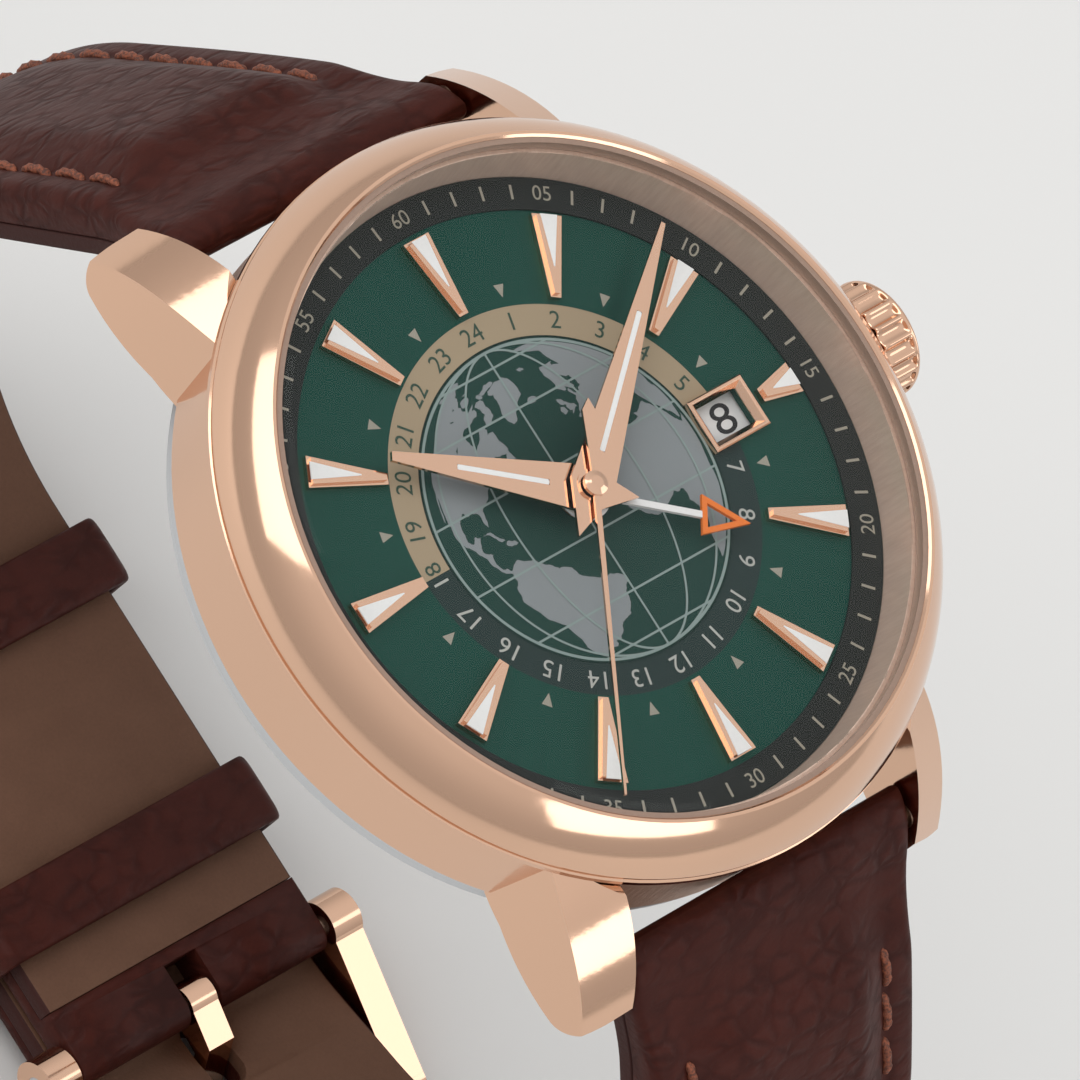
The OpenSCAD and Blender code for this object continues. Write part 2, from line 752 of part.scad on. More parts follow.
// Escape wheel with raked teeth on a slim rim
escape_n = 20;
escape_r = 1.95;
module escape_wheel() {
    step = 360 / escape_n;
    color(steel) {
        lay(escape_at, escape_deep) linear_extrude(height = 0.12) difference() {
            polygon([
                for (i = [0 : escape_n - 1], k = [0 : 2])
                    polar([escape_r, escape_r - 0.05, escape_r - 0.42][k], step * (i + [0, 0.12, 0.3][k]))
            ]);
            difference() {
                circle(r = escape_r - 0.65, $fn = 48);
                circle(r = 0.4, $fn = 32);
                for (i = [0 : 3]) rotate(i * 90) translate([0, -0.1]) square([2, 0.2]);
            }
        }
        lay(escape_at, fourth_deep + 0.02) wheel(escape_pinion_n, fourth_m, escape_tooth, 0.32);
        arbor(escape_at, arbor_low, arbor_high, 0.16);
    }
}

// Lever with two pallets that stand just clear of the escape wheel
module pallet_fork() {
    reach = norm(balance_at - fork_at);
    turn = dir_of(fork_at, balance_at);
    stone_r = escape_r + 0.06;
    color(steel) {
        lay(fork_at, escape_deep) linear_extrude(height = fork_t) difference() {
            union() {
                circle(r = 0.42, $fn = 32);
                rotate(turn) translate([0, -0.15]) square([reach - 1, 0.3]);
                rotate(turn) translate([reach - 1.3, -0.42]) square([0.5, 0.84]);
                for (s = [-1, 1]) rotate(fork_dir + 180 + s * 62) translate([0, -0.15]) square([1.25, 0.3]);
            }
            rotate(turn) translate([reach - 1.1, -0.17]) square([0.5, 0.34]);
            translate(escape_at - fork_at) circle(r = stone_r, $fn = 64);
        }
        lay(fork_at, pallet_deep - pallet_bridge_t - 0.02) cylinder(r = 0.12, h = pallet_deep - pallet_bridge_t - 0.02 - arbor_high, $fn = 24);
        lay(fork_at, pallet_deep) cylinder(r = pivot_r, h = pallet_deep - arbor_high + pivot_in, $fn = 24);
    }
}

// Balance with screws round its rim, its staff and the roller with the impulse pin
module balance_wheel() {
    rim = 0.42;
    color(brass) {
        lay(balance_at, balance_deep) difference() {
            cylinder(r = balance_r, h = 0.35, $fn = 96);
            difference() {
                at(-1) cylinder(r = balance_r - rim, h = 3, $fn = 96);
                for (i = [0 : 2]) rotate([0, 0, i * 120 + 15]) translate([0, -0.2, 0]) cube([balance_r, 0.4, 0.35]);
                cylinder(r = 0.55, h = 0.35, $fn = 32);
            }
        }
        arbor(balance_at, arbor_low, arbor_high, 0.14);
        lay(balance_at, balance_deep - 0.33) cylinder(r = 0.4, h = 0.2, $fn = 32);
    }
}

// Flat spiral strip, as one band whose radius grows evenly with its angle
module hairspring() {
    n = 40 * spring_turns;
    tall = 0.12;
    inner = [for (i = [0 : n]) polar(spring_in_r + spring_pitch * i / 40, 9 * i)];
    outer = [for (i = [n : -1 : 0]) polar(spring_in_r + spring_t + spring_pitch * i / 40, 9 * i)];
    gap = min([for (i = [0 : n - 40]) norm(inner[i + 40] - polar(spring_in_r + spring_t + spring_pitch * i / 40, 9 * i))]);
    echo(hairspring_least_gap = gap);
    color([0.2, 0.25, 0.5]) lay(balance_at, spring_deep) linear_extrude(height = tall) polygon(concat(inner, outer));
}

// Motion work: cannon pinion, minute wheel, hour wheel, idler and 24-hour wheel
cannon_tooth = 0;
minute_tooth = in_mesh(cannon_n, cannon_tooth, minute_dir, minute_n);
hour_tooth = in_mesh(minute_pinion_n, minute_tooth, minute_dir - 180, hour_n);
idler_tooth = in_mesh(hour_n, hour_tooth, idler_dir, idler_n);
gmt_tooth = in_mesh(idler_pinion_n, idler_tooth, idler_dir - 180, gmt_n);

module sleeve(r_out, r_in, low, high) {
    lay(centre_at, low) ring(r_out, r_in, low + high, $fn = 48);
}

module cannon_pinion() {
    color(steel) {
        lay(centre_at, cannon_deep) wheel(cannon_n, cannon_m, cannon_tooth, 0.25, cannon_in);
        sleeve(cannon_out, cannon_in, cannon_deep, minute_z + hand_t + 0.02);
    }
}

module minute_wheel() {
    color(brass) difference() {
        union() {
            lay(minute_wheel_at, cannon_deep) wheel(minute_n, cannon_m, minute_tooth, works_t);
            lay(minute_wheel_at, cannon_deep - works_t) wheel(minute_pinion_n, hour_m, minute_tooth, 0.4);
        }
        lay(minute_wheel_at, 3) cylinder(r = 0.2, h = 3, $fn = 32);
    }
}

module hour_wheel() {
    color(brass) {
        lay(centre_at, hour_deep) wheel(hour_n, hour_m, hour_tooth, works_t, hour_in);
        sleeve(hour_out, hour_in, hour_deep, hour_z + hand_t + 0.02);
    }
}

module gmt_idler() {
    color(brass) difference() {
        union() {
            lay(idler_at, hour_deep) wheel(idler_n, hour_m, idler_tooth, works_t);
            lay(idler_at, hour_deep - works_t) wheel(idler_pinion_n, gmt_m, idler_tooth, 0.5);
        }
        lay(idler_at, 3) cylinder(r = 0.3, h = 3, $fn = 32);
    }
}

module gmt_wheel() {
    color(brass) {
        lay(centre_at, gmt_deep) wheel(gmt_n, gmt_m, gmt_tooth, works_t, gmt_in);
        sleeve(gmt_out, gmt_in, gmt_deep, gmt_z + hand_t + 0.02);
    }
}

// Main plate: rim under the dial, recess for the motion work, pockets for the train
foot_spots = [[-9, 7.5], [-1.6, 11.4], [-11.6, -1], [-6, -10.2], [2.2, -6.8], [4.6, 9.4]];
cock_spots = [[11, -3.2], [10.4, -4.7]];
module main_plate() {
    r = move_d / 2;
    color([0.8, 0.8, 0.8]) difference() {
        union() {
            at(dial_z - plate_low) cylinder(r = r, h = plate_low - plate_top, $fn = 96);
            at(dial_z - plate_top) ring(r, date_disc_r + slip, plate_top - dial_t);
            at(dial_z - plate_top) ring(8.6, 8.1, 0.35);
        }
        lay([0, 0], works_deep) cylinder(r = 2.55, h = 3, $fn = 48);
        lay(minute_wheel_at, works_deep) cylinder(r = 1.8, h = 3, $fn = 48);
        lay(idler_at, works_deep) cylinder(r = 1.9, h = 3, $fn = 48);
        lay([0, 0], plate_low + 1) cylinder(r = 0.2, h = 4, $fn = 32);
        lay(barrel_at, plate_low + 1) cylinder(r = barrel_r + 0.25, h = plate_low + 1 - barrel_high + 0.1, $fn = 64);
        lay(great_at, plate_low + 1) cylinder(r = 3.85, h = plate_low - 1.2, $fn = 64);
        lay(third_at, plate_low + 1) cylinder(r = 3.05, h = plate_low - 1.2, $fn = 64);
        lay([0, 0], plate_low + 1) cylinder(r = 2.7, h = plate_low - 1.3, $fn = 64);
        lay(great_at, plate_low + 1) cylinder(r = 0.95, h = plate_low - 1, $fn = 32);
        lay(escape_at, plate_low + 1) cylinder(r = escape_r + 0.2, h = plate_low - 1, $fn = 48);
        lay(fork_at, plate_low + 1) cylinder(r = 1.6, h = plate_low - 1, $fn = 48);
        lay(balance_at, plate_low + 1) cylinder(r = balance_r + 0.2, h = plate_low - 1, $fn = 64);
        for (p = [great_at, third_at, escape_at, fork_at, balance_at])
            lay(p, plate_low) cylinder(r = 0.18, h = plate_low - pocket_deep + 0.15, $fn = 24);
        translate([6, 0, stem_z]) rotate([0, 90, 0]) cylinder(r = 0.55, h = 10, $fn = 32);
        translate([7.4, 0.2, dial_z - plate_low - 1]) cube([5, 3.2, plate_low + 1 - pocket_deep]);
    }
    color([0.8, 0.8, 0.8]) {
        lay(minute_wheel_at, works_deep) cylinder(r = 0.15, h = 0.72, $fn = 24);
        lay(idler_at, works_deep) cylinder(r = 0.25, h = 1.1, $fn = 24);
    }
}

// Round blank of the bridges
module bridge_round(r) {
    lay([0, 0], move_depth) cylinder(r = r, h = bridge_t, $fn = 96);
}

module screw_holes(spots) {
    for (p = spots) lay(p, move_depth + 1) cylinder(r = 0.75, h = 1.35, $fn = 32);
    for (p = spots) lay(p, move_depth + 1) cylinder(r = 0.42, h = 3, $fn = 32);
}

module jewel_seat(p, r = 0.45) {
    lay(p, move_depth + 1) cylinder(r = r, h = bridge_t + 2, $fn = 32);
}

split_y = 2.9;
module barrel_bridge() {
    color([0.82, 0.82, 0.82]) difference() {
        bridge_round(move_d / 2 - 0.3);
        lay([-20, split_y - 20], move_depth + 1) cube([40, 20, 4]);
        lay(barrel_at, plate_low + 0.4) cylinder(r = 0.55, h = 2, $fn = 32);
        jewel_seat([0.9, 6.4], 0.8);
        screw_holes([foot_spots[0], foot_spots[1], foot_spots[5]]);
    }
}

module train_bridge() {
    color([0.82, 0.82, 0.82]) difference() {
        union() {
            bridge_round(move_d / 2 - 0.3);
            lay([0, 0], move_depth + 0.15) cylinder(r = 1.5, h = 0.2, $fn = 48);
        }
        lay([-20, split_y - 0.15], move_depth + 1) cube([40, 20, 4]);
        lay(balance_at, move_depth + 1) cylinder(r = balance_r + 1.15, h = 4, $fn = 64);
        lay([7.2, -20], move_depth + 1) cube([20, 21, 4]);
        lay([-7.2, -5.4], move_depth + 1) cylinder(r = 2, h = 4, $fn = 48);
        for (p = [great_at, third_at, escape_at]) jewel_seat(p);
        lay([0, 0], plate_low + 0.35) cylinder(r = 0.2, h = 1, $fn = 24);
        screw_holes([foot_spots[2], foot_spots[3], foot_spots[4]]);
        lay([7.4 - 1, -0.8], plate_low + 0.3) cube([8, 4.4, 1]);
    }
}

// Low bar over the pallet fork, on two feet between the escape wheel and the balance
pallet_feet = [[4.9, -2.05], [2.14, -5.1]];
module pallet_bridge() {
    color([0.82, 0.82, 0.82]) difference() {
        union() {
            for (p = pallet_feet) {
                lay(p, pallet_deep) cylinder(r = 0.35, h = pallet_deep - pocket_deep, $fn = 32);
                lay(fork_at, pallet_deep) rotate([0, 0, dir_of(fork_at, p)])
                    translate([0, -0.3, 0]) cube([norm(p - fork_at), 0.6, pallet_bridge_t]);
            }
            lay(fork_at, pallet_deep) cylinder(r = 0.5, h = pallet_bridge_t, $fn = 32);
        }
        lay(fork_at, pallet_deep + 1) cylinder(r = pivot_r + 0.03, h = 3, $fn = 24);
    }
}

// Arm over the balance, screwed down at the movement's rim
module balance_cock() {
    color([0.82, 0.82, 0.82]) difference() {
        intersection() {
            bridge_round(move_d / 2 - 0.3);
            union() {
                lay(balance_at, move_depth) cylinder(r = 1.15, h = bridge_t, $fn = 48);
                lay(balance_at, move_depth) rotate([0, 0, 22]) translate([0, -0.9, 0]) cube([7, 1.8, bridge_t]);
                lay([9.9, -5.6], move_depth) cube([4, 3.4, bridge_t]);
            }
        }
        jewel_seat(balance_at, 0.5);
        screw_holes(cock_spots);
    }
}

module bridge_screws() {
    color([0.3, 0.35, 0.6]) for (p = concat(foot_spots, cock_spots)) {
        lay(p, move_depth + 0.02) difference() {
            cylinder(r = 0.7, h = 0.35, $fn = 32);
            translate([-0.8, -0.08, -0.1]) cube([1.6, 0.16, 0.22]);
        }
        lay(p, move_depth - 0.3) cylinder(r = 0.4, h = bridge_t - 0.35, $fn = 24);
    }
}

// Ring jewels for the pivots, with a dished outer face
module jewels() {
    color(ruby) {
        for (p = [great_at, third_at, escape_at]) lay(p, move_depth) jewel(0.45);
        lay(balance_at, move_depth) jewel(0.5);
        lay([0.9, 6.4], move_depth) jewel(0.8);
    }
}

module jewel(r) {
    difference() {
        cylinder(r = r, h = bridge_t, $fn = 32);
        at(-1) cylinder(r = pivot_r + 0.03, h = bridge_t + 2, $fn = 24);
        at(-0.01) cylinder(r1 = r * 0.6, r2 = pivot_r, h = 0.2, $fn = 32);
    }
}

// Ball race of the rotor, fixed on the train bridge
rotor_low = 5.15;
module rotor_bearing() {
    color(steel) {
        lay([0, 0], rotor_low - 0.05) cylinder(r = 0.8, h = rotor_low - 0.05 - move_depth - 0.15, $fn = 48);
        lay([0, 0], rotor_low) cylinder(r = 0.55, h = 0.1, $fn = 32);
    }
}

// Half-disc weight with a thick rim and cut-outs in its web
module rotor_weight() {
    web = 0.35;
    window_step = 52;
    window_half = 17;
    module half(r, h) {
        intersection() {
            cylinder(r = r, h = h, $fn = 96);
            translate([-20, -20, -1]) cube([40, 20.9, 5]);
        }
    }
    color([0.78, 0.78, 0.77]) lay([0, 0], rotor_low) rotate([0, 0, rotor_at]) difference() {
        union() {
            half(rotor_r, web);
            difference() {
                half(rotor_r, 0.75);
                at(-1) cylinder(r = rotor_r - rotor_rim_w, h = 4, $fn = 96);
            }
            cylinder(r = 2.2, h = 0.6, $fn = 64);
        }
        at(-1) cylinder(r = 0.8 + slip, h = 4, $fn = 48);
        for (i = [0 : 2]) rotate([0, 0, -90 + (i - 1) * window_step]) intersection() {
            at(-1) ring(rotor_r - rotor_rim_w - 1.2, 3.6, 4, $fn = 64);
            rotate([0, 0, -window_half]) translate([0, 0, -1]) cube([20, 20, 4]);
            rotate([0, 0, window_half]) translate([0, -20, -1]) cube([20, 20, 4]);
        }
    }
}

// Lever whose fork moves the stem's groove when the crown is pulled
stem_in = 6.3;
groove_x = 9.2;
module setting_lever() {
    color(steel) translate([0, 0, stem_z - 0.25]) difference() {
        union() {
            translate([8.1, 0.75, 0]) cube([2, 2.3, 0.5]);
            translate([groove_x + 0.05, 0.35, 0]) cube([0.5, 0.6, 0.5]);
        }
        translate([9.1, 2.4, -1]) cylinder(r = 0.3, h = 3, $fn = 24);
    }
}

module winding_stem() {
    color(steel) translate([stem_in, 0, stem_z]) rotate([0, 90, 0]) difference() {
        cylinder(r = 0.45, h = crown_x + 2.4 - stem_in, $fn = 32);
        at(groove_x - stem_in) ring(1, 0.3, 0.6, $fn = 32);
    }
}

// Fluted crown with a domed end and a well for the tube and its seal
module crown() {
    r = crown_d / 2;
    color(rose) translate([crown_x, 0, stem_z]) rotate([0, 90, 0]) difference() {
        rotate_extrude($fn = 96) polygon([
            [0.45, 0], [r - 0.5, 0], [r - 0.12, 0.25], [r, 0.5], [r, crown_l - 1], [r - 0.3, crown_l - 0.45],
            [r - 1.1, crown_l - 0.12], [r - 2, crown_l], [0, crown_l], [0, 2.4], [0.45, 2.4]
        ]);
        at(-1) cylinder(r = tube_r + slip, h = 2.65, $fn = 48);
        at(0.5) cylinder(r = tube_r + 0.4, h = 0.5, $fn = 48);
        for (i = [0 : crown_flutes - 1]) rotate([0, 0, (i + 0.5) * 360 / crown_flutes])
            translate([r + 0.12, 0, 0.3]) cylinder(r = 0.36, h = crown_l - 1, $fn = 24);
    }
}

module crown_gasket() {
    color([0.1, 0.1, 0.1]) translate([crown_x + 0.52, 0, stem_z]) rotate([0, 90, 0])
        ring(tube_r + 0.38, tube_r + 0.02, 0.46, $fn = 48);
}

// A pose on a strap's route: place along Y, height, heading in degrees, distance gone
// One run is a turn of a radius through an angle, or a radius of 0 and a length
function step_on(p, r, t) = r == 0
    ? [p[0] + t * cos(p[2]), p[1] + t * sin(p[2]), p[2], p[3] + t]
    : [p[0] + r * (sin(p[2]) - sin(p[2] - t)), p[1] + r * (cos(p[2] - t) - cos(p[2])), p[2] - t, p[3] + r * t * PI / 180];
function route(p, runs, i = 0) = i == len(runs) ? [] : let(
    r = runs[i][0],
    all = runs[i][1],
    n = r == 0 ? max(1, round(all / 4)) : max(2, round(all / 7)),
    leg = [for (k = [1 : n]) step_on(p, r, all * k / n)]
) concat(leg, route(leg[n - 1], runs, i + 1));

// Poses just before the bar, where the end of the strap is rounded over
function before(p, list) = [for (s = list) [p[0] + s * cos(p[2]), p[1] + s * sin(p[2]), p[2], s]];

function ease(x) = let(c = min(1, max(0, x))) c * c * (3 - 2 * c);

// Padding profile: height of the crown above the middle line at a distance from the bar
pad_from = 7;
pad_to = 36;
end_crown = 1.45;
function crown_at(s, low) = s < 0 ? end_crown * sqrt(max(0, 1 - pow(s / end_l, 2)))
    : s < pad_from ? end_crown + (pad_h - end_crown) * ease(s / pad_from)
    : pad_h + (low - pad_h) * ease((s - pad_from) / (pad_to - pad_from));

// Half width of a strap at a distance from its bar
strap_w = lug_gap - 2 * strap_side_gap;
function half_at(s) = (strap_w - strap_neck * ease(s / 6) - (strap_w - strap_neck - strap_end_w) * ease(s / 55)) / 2;

// Ring of points round the top leather, from its edge over the crown to the other edge
flat_in = 5.6;    // where the padding's flat top starts, in from the edge
stitch_in = 2.3;  // line of the stitching, in from the edge
function skin(w, low, edge, top) = let(
    f = min(1, w / (flat_in + 1)),
    side = [
        [w, low], [w, edge], [w - 0.35 * f, edge + (top - edge) * 0.35],
        [w - stitch_in * f, edge + (top - edge) * 0.5], [w - 3.6 * f, edge + (top - edge) * 0.85],
        [w - flat_in * f, top]
    ]
) concat(side, [for (i = [5 : -1 : 0]) [-side[i][0], side[i][1]]]);

function place(p, ring) = [
    for (q = ring) [q[0], p[0] - q[1] * sin(p[2]), p[1] + q[1] * cos(p[2])]
];

// Closed skin through a list of rings of equal length
module loft(rings) {
    n = len(rings[0]);
    m = len(rings);
    polyhedron(
        points = [for (r = rings) each r],
        faces = concat(
            [[for (k = [n - 1 : -1 : 0]) k]],
            [[for (k = [0 : n - 1]) (m - 1) * n + k]],
            [for (i = [0 : m - 2], k = [0 : n - 1], h = [0, 1])
                let(a = i * n + k, b = i * n + (k + 1) % n)
                h == 0 ? [a, b, b + n] : [a, b + n, a + n]]
        )
    );
}

start_12 = [bar_out, bar_z, -leave_12, 0];
start_6 = [bar_out, bar_z, -leave_6, 0];
short_low = thin_t / 2;
tail_low = tail_t / 2;
wrap = 1.9;          // length of leather folded round a spring bar
fold_l = 3;          // length of leather folded round the buckle's bar
step_l = 0.05;       // length of the step down to the lining
tip_l = 9;           // length of the long strap's pointed end
at_bar = [0.9, wrap, wrap + step_l];
end_l = 2;           // length of the rounded end past a bar
end_steps = [for (f = [-0.96, -0.83, -0.56, -0.3, 0]) f * end_l];

// Straight bottom run of the short strap, up to the buckle's bar
short_straight = corner_y + buckle_at;
poses_12 = concat(before(start_12, end_steps), before(start_12, at_bar),
    [for (p = route(start_12, concat(runs_12, [[0, short_straight - fold_l]]))) if (p[3] > wrap + 0.5) p]);

// Long strap: out and back in, round its corner, slanting through the buckle and on under the short one
turn_6_r = 16;
back_to = 115;
slant_to = 166;
slant_l = 5;
level_r = 15;
fall_6 = straight_6 * sin(leave_6) - run_z(turn_6_r, leave_6, back_to) - run_z(corner_r, back_to, slant_to)
    + slant_l * sin(slant_to) - run_z(level_r, slant_to, 180);
back_l = (bar_z - tail_mid_z - fall_6) / sin(back_to);
level_y = bar_out + straight_6 * cos(leave_6) + run_y(turn_6_r, leave_6, back_to) + back_l * cos(back_to)
    + run_y(corner_r, back_to, slant_to) + slant_l * cos(slant_to) + run_y(level_r, slant_to, 180);
tail_r = corner_z - tail_mid_z;
runs_6 = [
    [0, straight_6], [turn_6_r, back_to - leave_6], [0, back_l], [corner_r, slant_to - back_to],
    [0, slant_l], [level_r, 180 - slant_to], [0, level_y + corner_y], [tail_r, tail_climb]
];
poses_6 = concat(before(start_6, end_steps), before(start_6, at_bar),
    [for (p = route(start_6, runs_6)) if (p[3] > wrap + 0.5) p]);
far_6 = poses_6[len(poses_6) - 1][3];

// Low side of the leather: its whole thickness near a bar, the lining's seat elsewhere
function top_half(p, low, end_w) = let(top = crown_at(p[3], low))
    skin(end_w, p[3] < 0 ? -low * sqrt(max(0.04, 1 - pow(p[3] / end_l, 2))) : -low, top * 0.55, top);
function seated(p, low, w) = let(top = crown_at(p[3], low)) skin(w, -low + lining_t, top * 0.55, top);
function lined(p, low, w) = [[w, -low], [w, -low + lining_t], [-w, -low + lining_t], [-w, -low]];

// One skin from the folded end to the far end, with a step in its low side for the lining
module leather_of(poses, low, tip = 0) {
    far = poses[len(poses) - 1][3];
    function w(p) = half_at(p[3]) - (tip == 0 ? 0 : half_at(far) * 0.85 * pow(max(0, (p[3] - far + tip) / tip), 2));
    loft([for (p = poses) place(p, p[3] <= wrap ? top_half(p, low, w(p)) : seated(p, low, w(p)))]);
}

module lining_of(poses, low, tip = 0) {
    far = poses[len(poses) - 1][3];
    function w(p) = half_at(p[3]) - (tip == 0 ? 0 : half_at(far) * 0.85 * pow(max(0, (p[3] - far + tip) / tip), 2));
    loft([for (p = poses) if (p[3] > wrap) place(p, lined(p, low, w(p)))]);
}

module bar_hole(y) {
    translate([-20, y, bar_z]) rotate([0, 90, 0]) cylinder(r = 0.75 + slip, h = 40, $fn = 32);
}

// End of the short strap, folded round the buckle's bar with a slot for the tongue
buckle_bar_r = 0.6;
tongue_w = 1.8;
module short_end() {
    w = strap_end_w / 2 - 0.03;
    difference() {
        union() {
            translate([-w, -buckle_at, short_mid_z - short_low]) cube([2 * w, fold_l, thin_t]);
            translate([-w, -buckle_at, short_mid_z - short_low]) cube([2 * w, fold_l + 0.3, thin_t - lining_t]);
            translate([-w, -buckle_at, short_mid_z]) rotate([0, 90, 0]) cylinder(r = short_low, h = 2 * w, $fn = 32);
        }
        translate([-w - 1, -buckle_at, short_mid_z]) rotate([0, 90, 0])
            cylinder(r = buckle_bar_r + slip, h = 2 * w + 2, $fn = 32);
        translate([-tongue_w / 2 - 0.25, -buckle_at - 2, short_mid_z - 3]) cube([tongue_w + 0.5, 4.2, 6]);
    }
}

module strap_12_leather() {
    color(leather) union() {
        difference() {
            leather_of(poses_12, short_low);
            bar_hole(bar_out);
        }
        short_end();
    }
}

module strap_12_lining() {
    color([0.55, 0.35, 0.2]) lining_of(poses_12, short_low);
}

// Holes through the long strap, square to it, at even steps along its route
tongue_hole_s = far_6 - (tail_r * tail_climb * PI / 180) - level_y - corner_y - 3.5;
hole_r = 1.15;
slot_half = 0.85;  // half the straight length of the hole that the tongue pulls long
function pose_at(s, i = 0) = poses_6[i + 1][3] >= s ? let(
    a = poses_6[i], b = poses_6[i + 1], f = (s - a[3]) / (b[3] - a[3])
) a + f * (b - a) : pose_at(s, i + 1);
module strap_holes() {
    for (k = [-1 : 4]) {
        p = pose_at(tongue_hole_s + k * hole_pitch);
        translate([0, p[0], p[1]]) rotate([p[2], 0, 0]) translate([0, 0, -tail_t]) {
            cylinder(r = hole_r, h = 2 * tail_t, $fn = 32);
            if (k == 0) translate([-hole_r, -slot_half, 0]) cube([2 * hole_r, 2 * slot_half, 2 * tail_t]);
            if (k == 0) for (s = [-1, 1]) translate([0, slot_half * s, 0])
                cylinder(r = hole_r, h = 2 * tail_t, $fn = 32);
        }
    }
}

module strap_6_leather() {
    color(leather) mirror([0, 1, 0]) difference() {
        leather_of(poses_6, tail_low, tip_l);
        bar_hole(bar_out);
        strap_holes();
    }
}

module strap_6_lining() {
    color([0.55, 0.35, 0.2]) mirror([0, 1, 0]) difference() {
        lining_of(poses_6, tail_low, tip_l);
        strap_holes();
    }
}

// Leather loop round both straps
keeper_in_w = strap_end_w + 0.5;
keeper_in_h = 2 * keeper_fit + tail_t + strap_gap + thin_t;
module keeper(y) {
    w = keeper_in_w / 2;
    translate([0, y - keeper_w / 2, 0]) rotate([90, 0, 180]) linear_extrude(height = keeper_w) difference() {
        translate([-w - keeper_t, 0]) square([2 * w + 2 * keeper_t, keeper_in_h + 2 * keeper_t]);
        translate([-w, keeper_t]) square([2 * w, keeper_in_h]);
    }
}
fixed_y = 0;
sliding_y = corner_y - 1.4 - keeper_w / 2;

module fixed_keeper() {
    color(leather) keeper(fixed_y);
}

module sliding_keeper() {
    color(leather) keeper(sliding_y);
}

// Buckle: two arms from the bar to a rounded front bar, with a rest for the tongue
arm_in = strap_end_w / 2 + 0.35;
front_y = -buckle_at - buckle_l;
front_low = 1.15;
front_t = 1.6;
module buckle_frame() {
    color(rose) difference() {
        union() {
            for (s = [-1, 1]) translate([s > 0 ? arm_in : -arm_in - buckle_arm_t, 0, 0])
                rotate([90, 0, 90]) linear_extrude(height = buckle_arm_t) difference() {
                    union() {
                        translate([-buckle_at, short_mid_z]) circle(r = 1.5, $fn = 48);
                        translate([front_y, 1.5]) circle(r = 1.5, $fn = 48);
                        polygon([
                            [-buckle_at + 0.6, short_mid_z + 1.37], [front_y - 0.6, 2.87],
                            [front_y - 0.2, 0], [-buckle_at - 3.6, 0], [-buckle_at + 1.2, short_mid_z - 0.9]
                        ]);
                    }
                    translate([-buckle_at, short_mid_z]) circle(r = buckle_bar_r + 0.01, $fn = 32);
                }
            translate([-arm_in - 0.1, front_y, front_low + front_t / 2]) rotate([0, 90, 0])
                cylinder(r = front_t / 2, h = 2 * arm_in + 0.2, $fn = 48);
            translate([-arm_in - 0.1, front_y - 0.9, front_low]) cube([2 * arm_in + 0.2, 0.9, front_t]);
        }
        translate([-tongue_w / 2 - 0.15, front_y - 3, front_low - 1]) cube([tongue_w + 0.3, 6, 1.25]);
    }
}

module buckle_bar() {
    half = arm_in + buckle_arm_t;
    color(steel) translate([-half, -buckle_at, short_mid_z]) rotate([0, 90, 0])
        cylinder(r = buckle_bar_r, h = 2 * half, $fn = 32);
}

// Bent tongue: an eye on the bar, a steep leg through the strap, a flat end on the front bar
module buckle_tongue() {
    t = 0.85;
    tip_z = front_low + 0.25 - 0.03;
    color(rose) translate([-tongue_w / 2, 0, 0]) rotate([90, 0, 90]) linear_extrude(height = tongue_w) difference() {
        union() {
            translate([-buckle_at, short_mid_z]) circle(r = 1.15, $fn = 48);
            polygon([
                [-buckle_at + 0.1, short_mid_z + 1.14], [-buckle_at - 2.9, short_mid_z + 0.2],
                [-buckle_at - 4.5, tip_z], [front_y - 1.4, tip_z], [front_y - 1.6, tip_z - t + 0.3],
                [front_y - 1.2, tip_z - t], [-buckle_at - 3.9, tip_z - t],
                [-buckle_at - 2.5, short_mid_z - 1.1], [-buckle_at - 0.6, short_mid_z - 0.98]
            ]);
        }
        translate([-buckle_at, short_mid_z]) circle(r = buckle_bar_r + slip, $fn = 32);
    }
}

mid_case();
bezel();
crystal();
crystal_gasket();
inner_flange();
case_back();
back_window();
back_gasket();
movement_holder();
crown_tube();
spring_bar_12();
spring_bar_6();
dial_plate();
minute_ring();
hour_markers();
date_frame();
date_disc();
main_plate();
barrel_bridge();
train_bridge();
pallet_bridge();
balance_cock();
bridge_screws();
jewels();
barrel();
center_wheel();
third_wheel();
fourth_wheel();
escape_wheel();
pallet_fork();
balance_wheel();
hairspring();
cannon_pinion();
minute_wheel();
hour_wheel();
gmt_idler();
gmt_wheel();
hour_hand();
minute_hand();
second_hand();
gmt_hand();
gmt_arrow();
rotor_bearing();
rotor_weight();
setting_lever();
winding_stem();
crown();
crown_gasket();
strap_12_leather();
strap_12_lining();
strap_6_leather();
strap_6_lining();
fixed_keeper();
sliding_keeper();
buckle_frame();
buckle_bar();
buckle_tongue();
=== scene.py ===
# Wrist watch with a second time zone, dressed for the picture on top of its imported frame.
# Sizes are in millimetres from the watch's own frame and become metres when a mesh is made.
import math
from types import SimpleNamespace as Values

import bpy
import numpy as np
from mathutils import Matrix, Vector
from mathutils.geometry import delaunay_2d_cdt


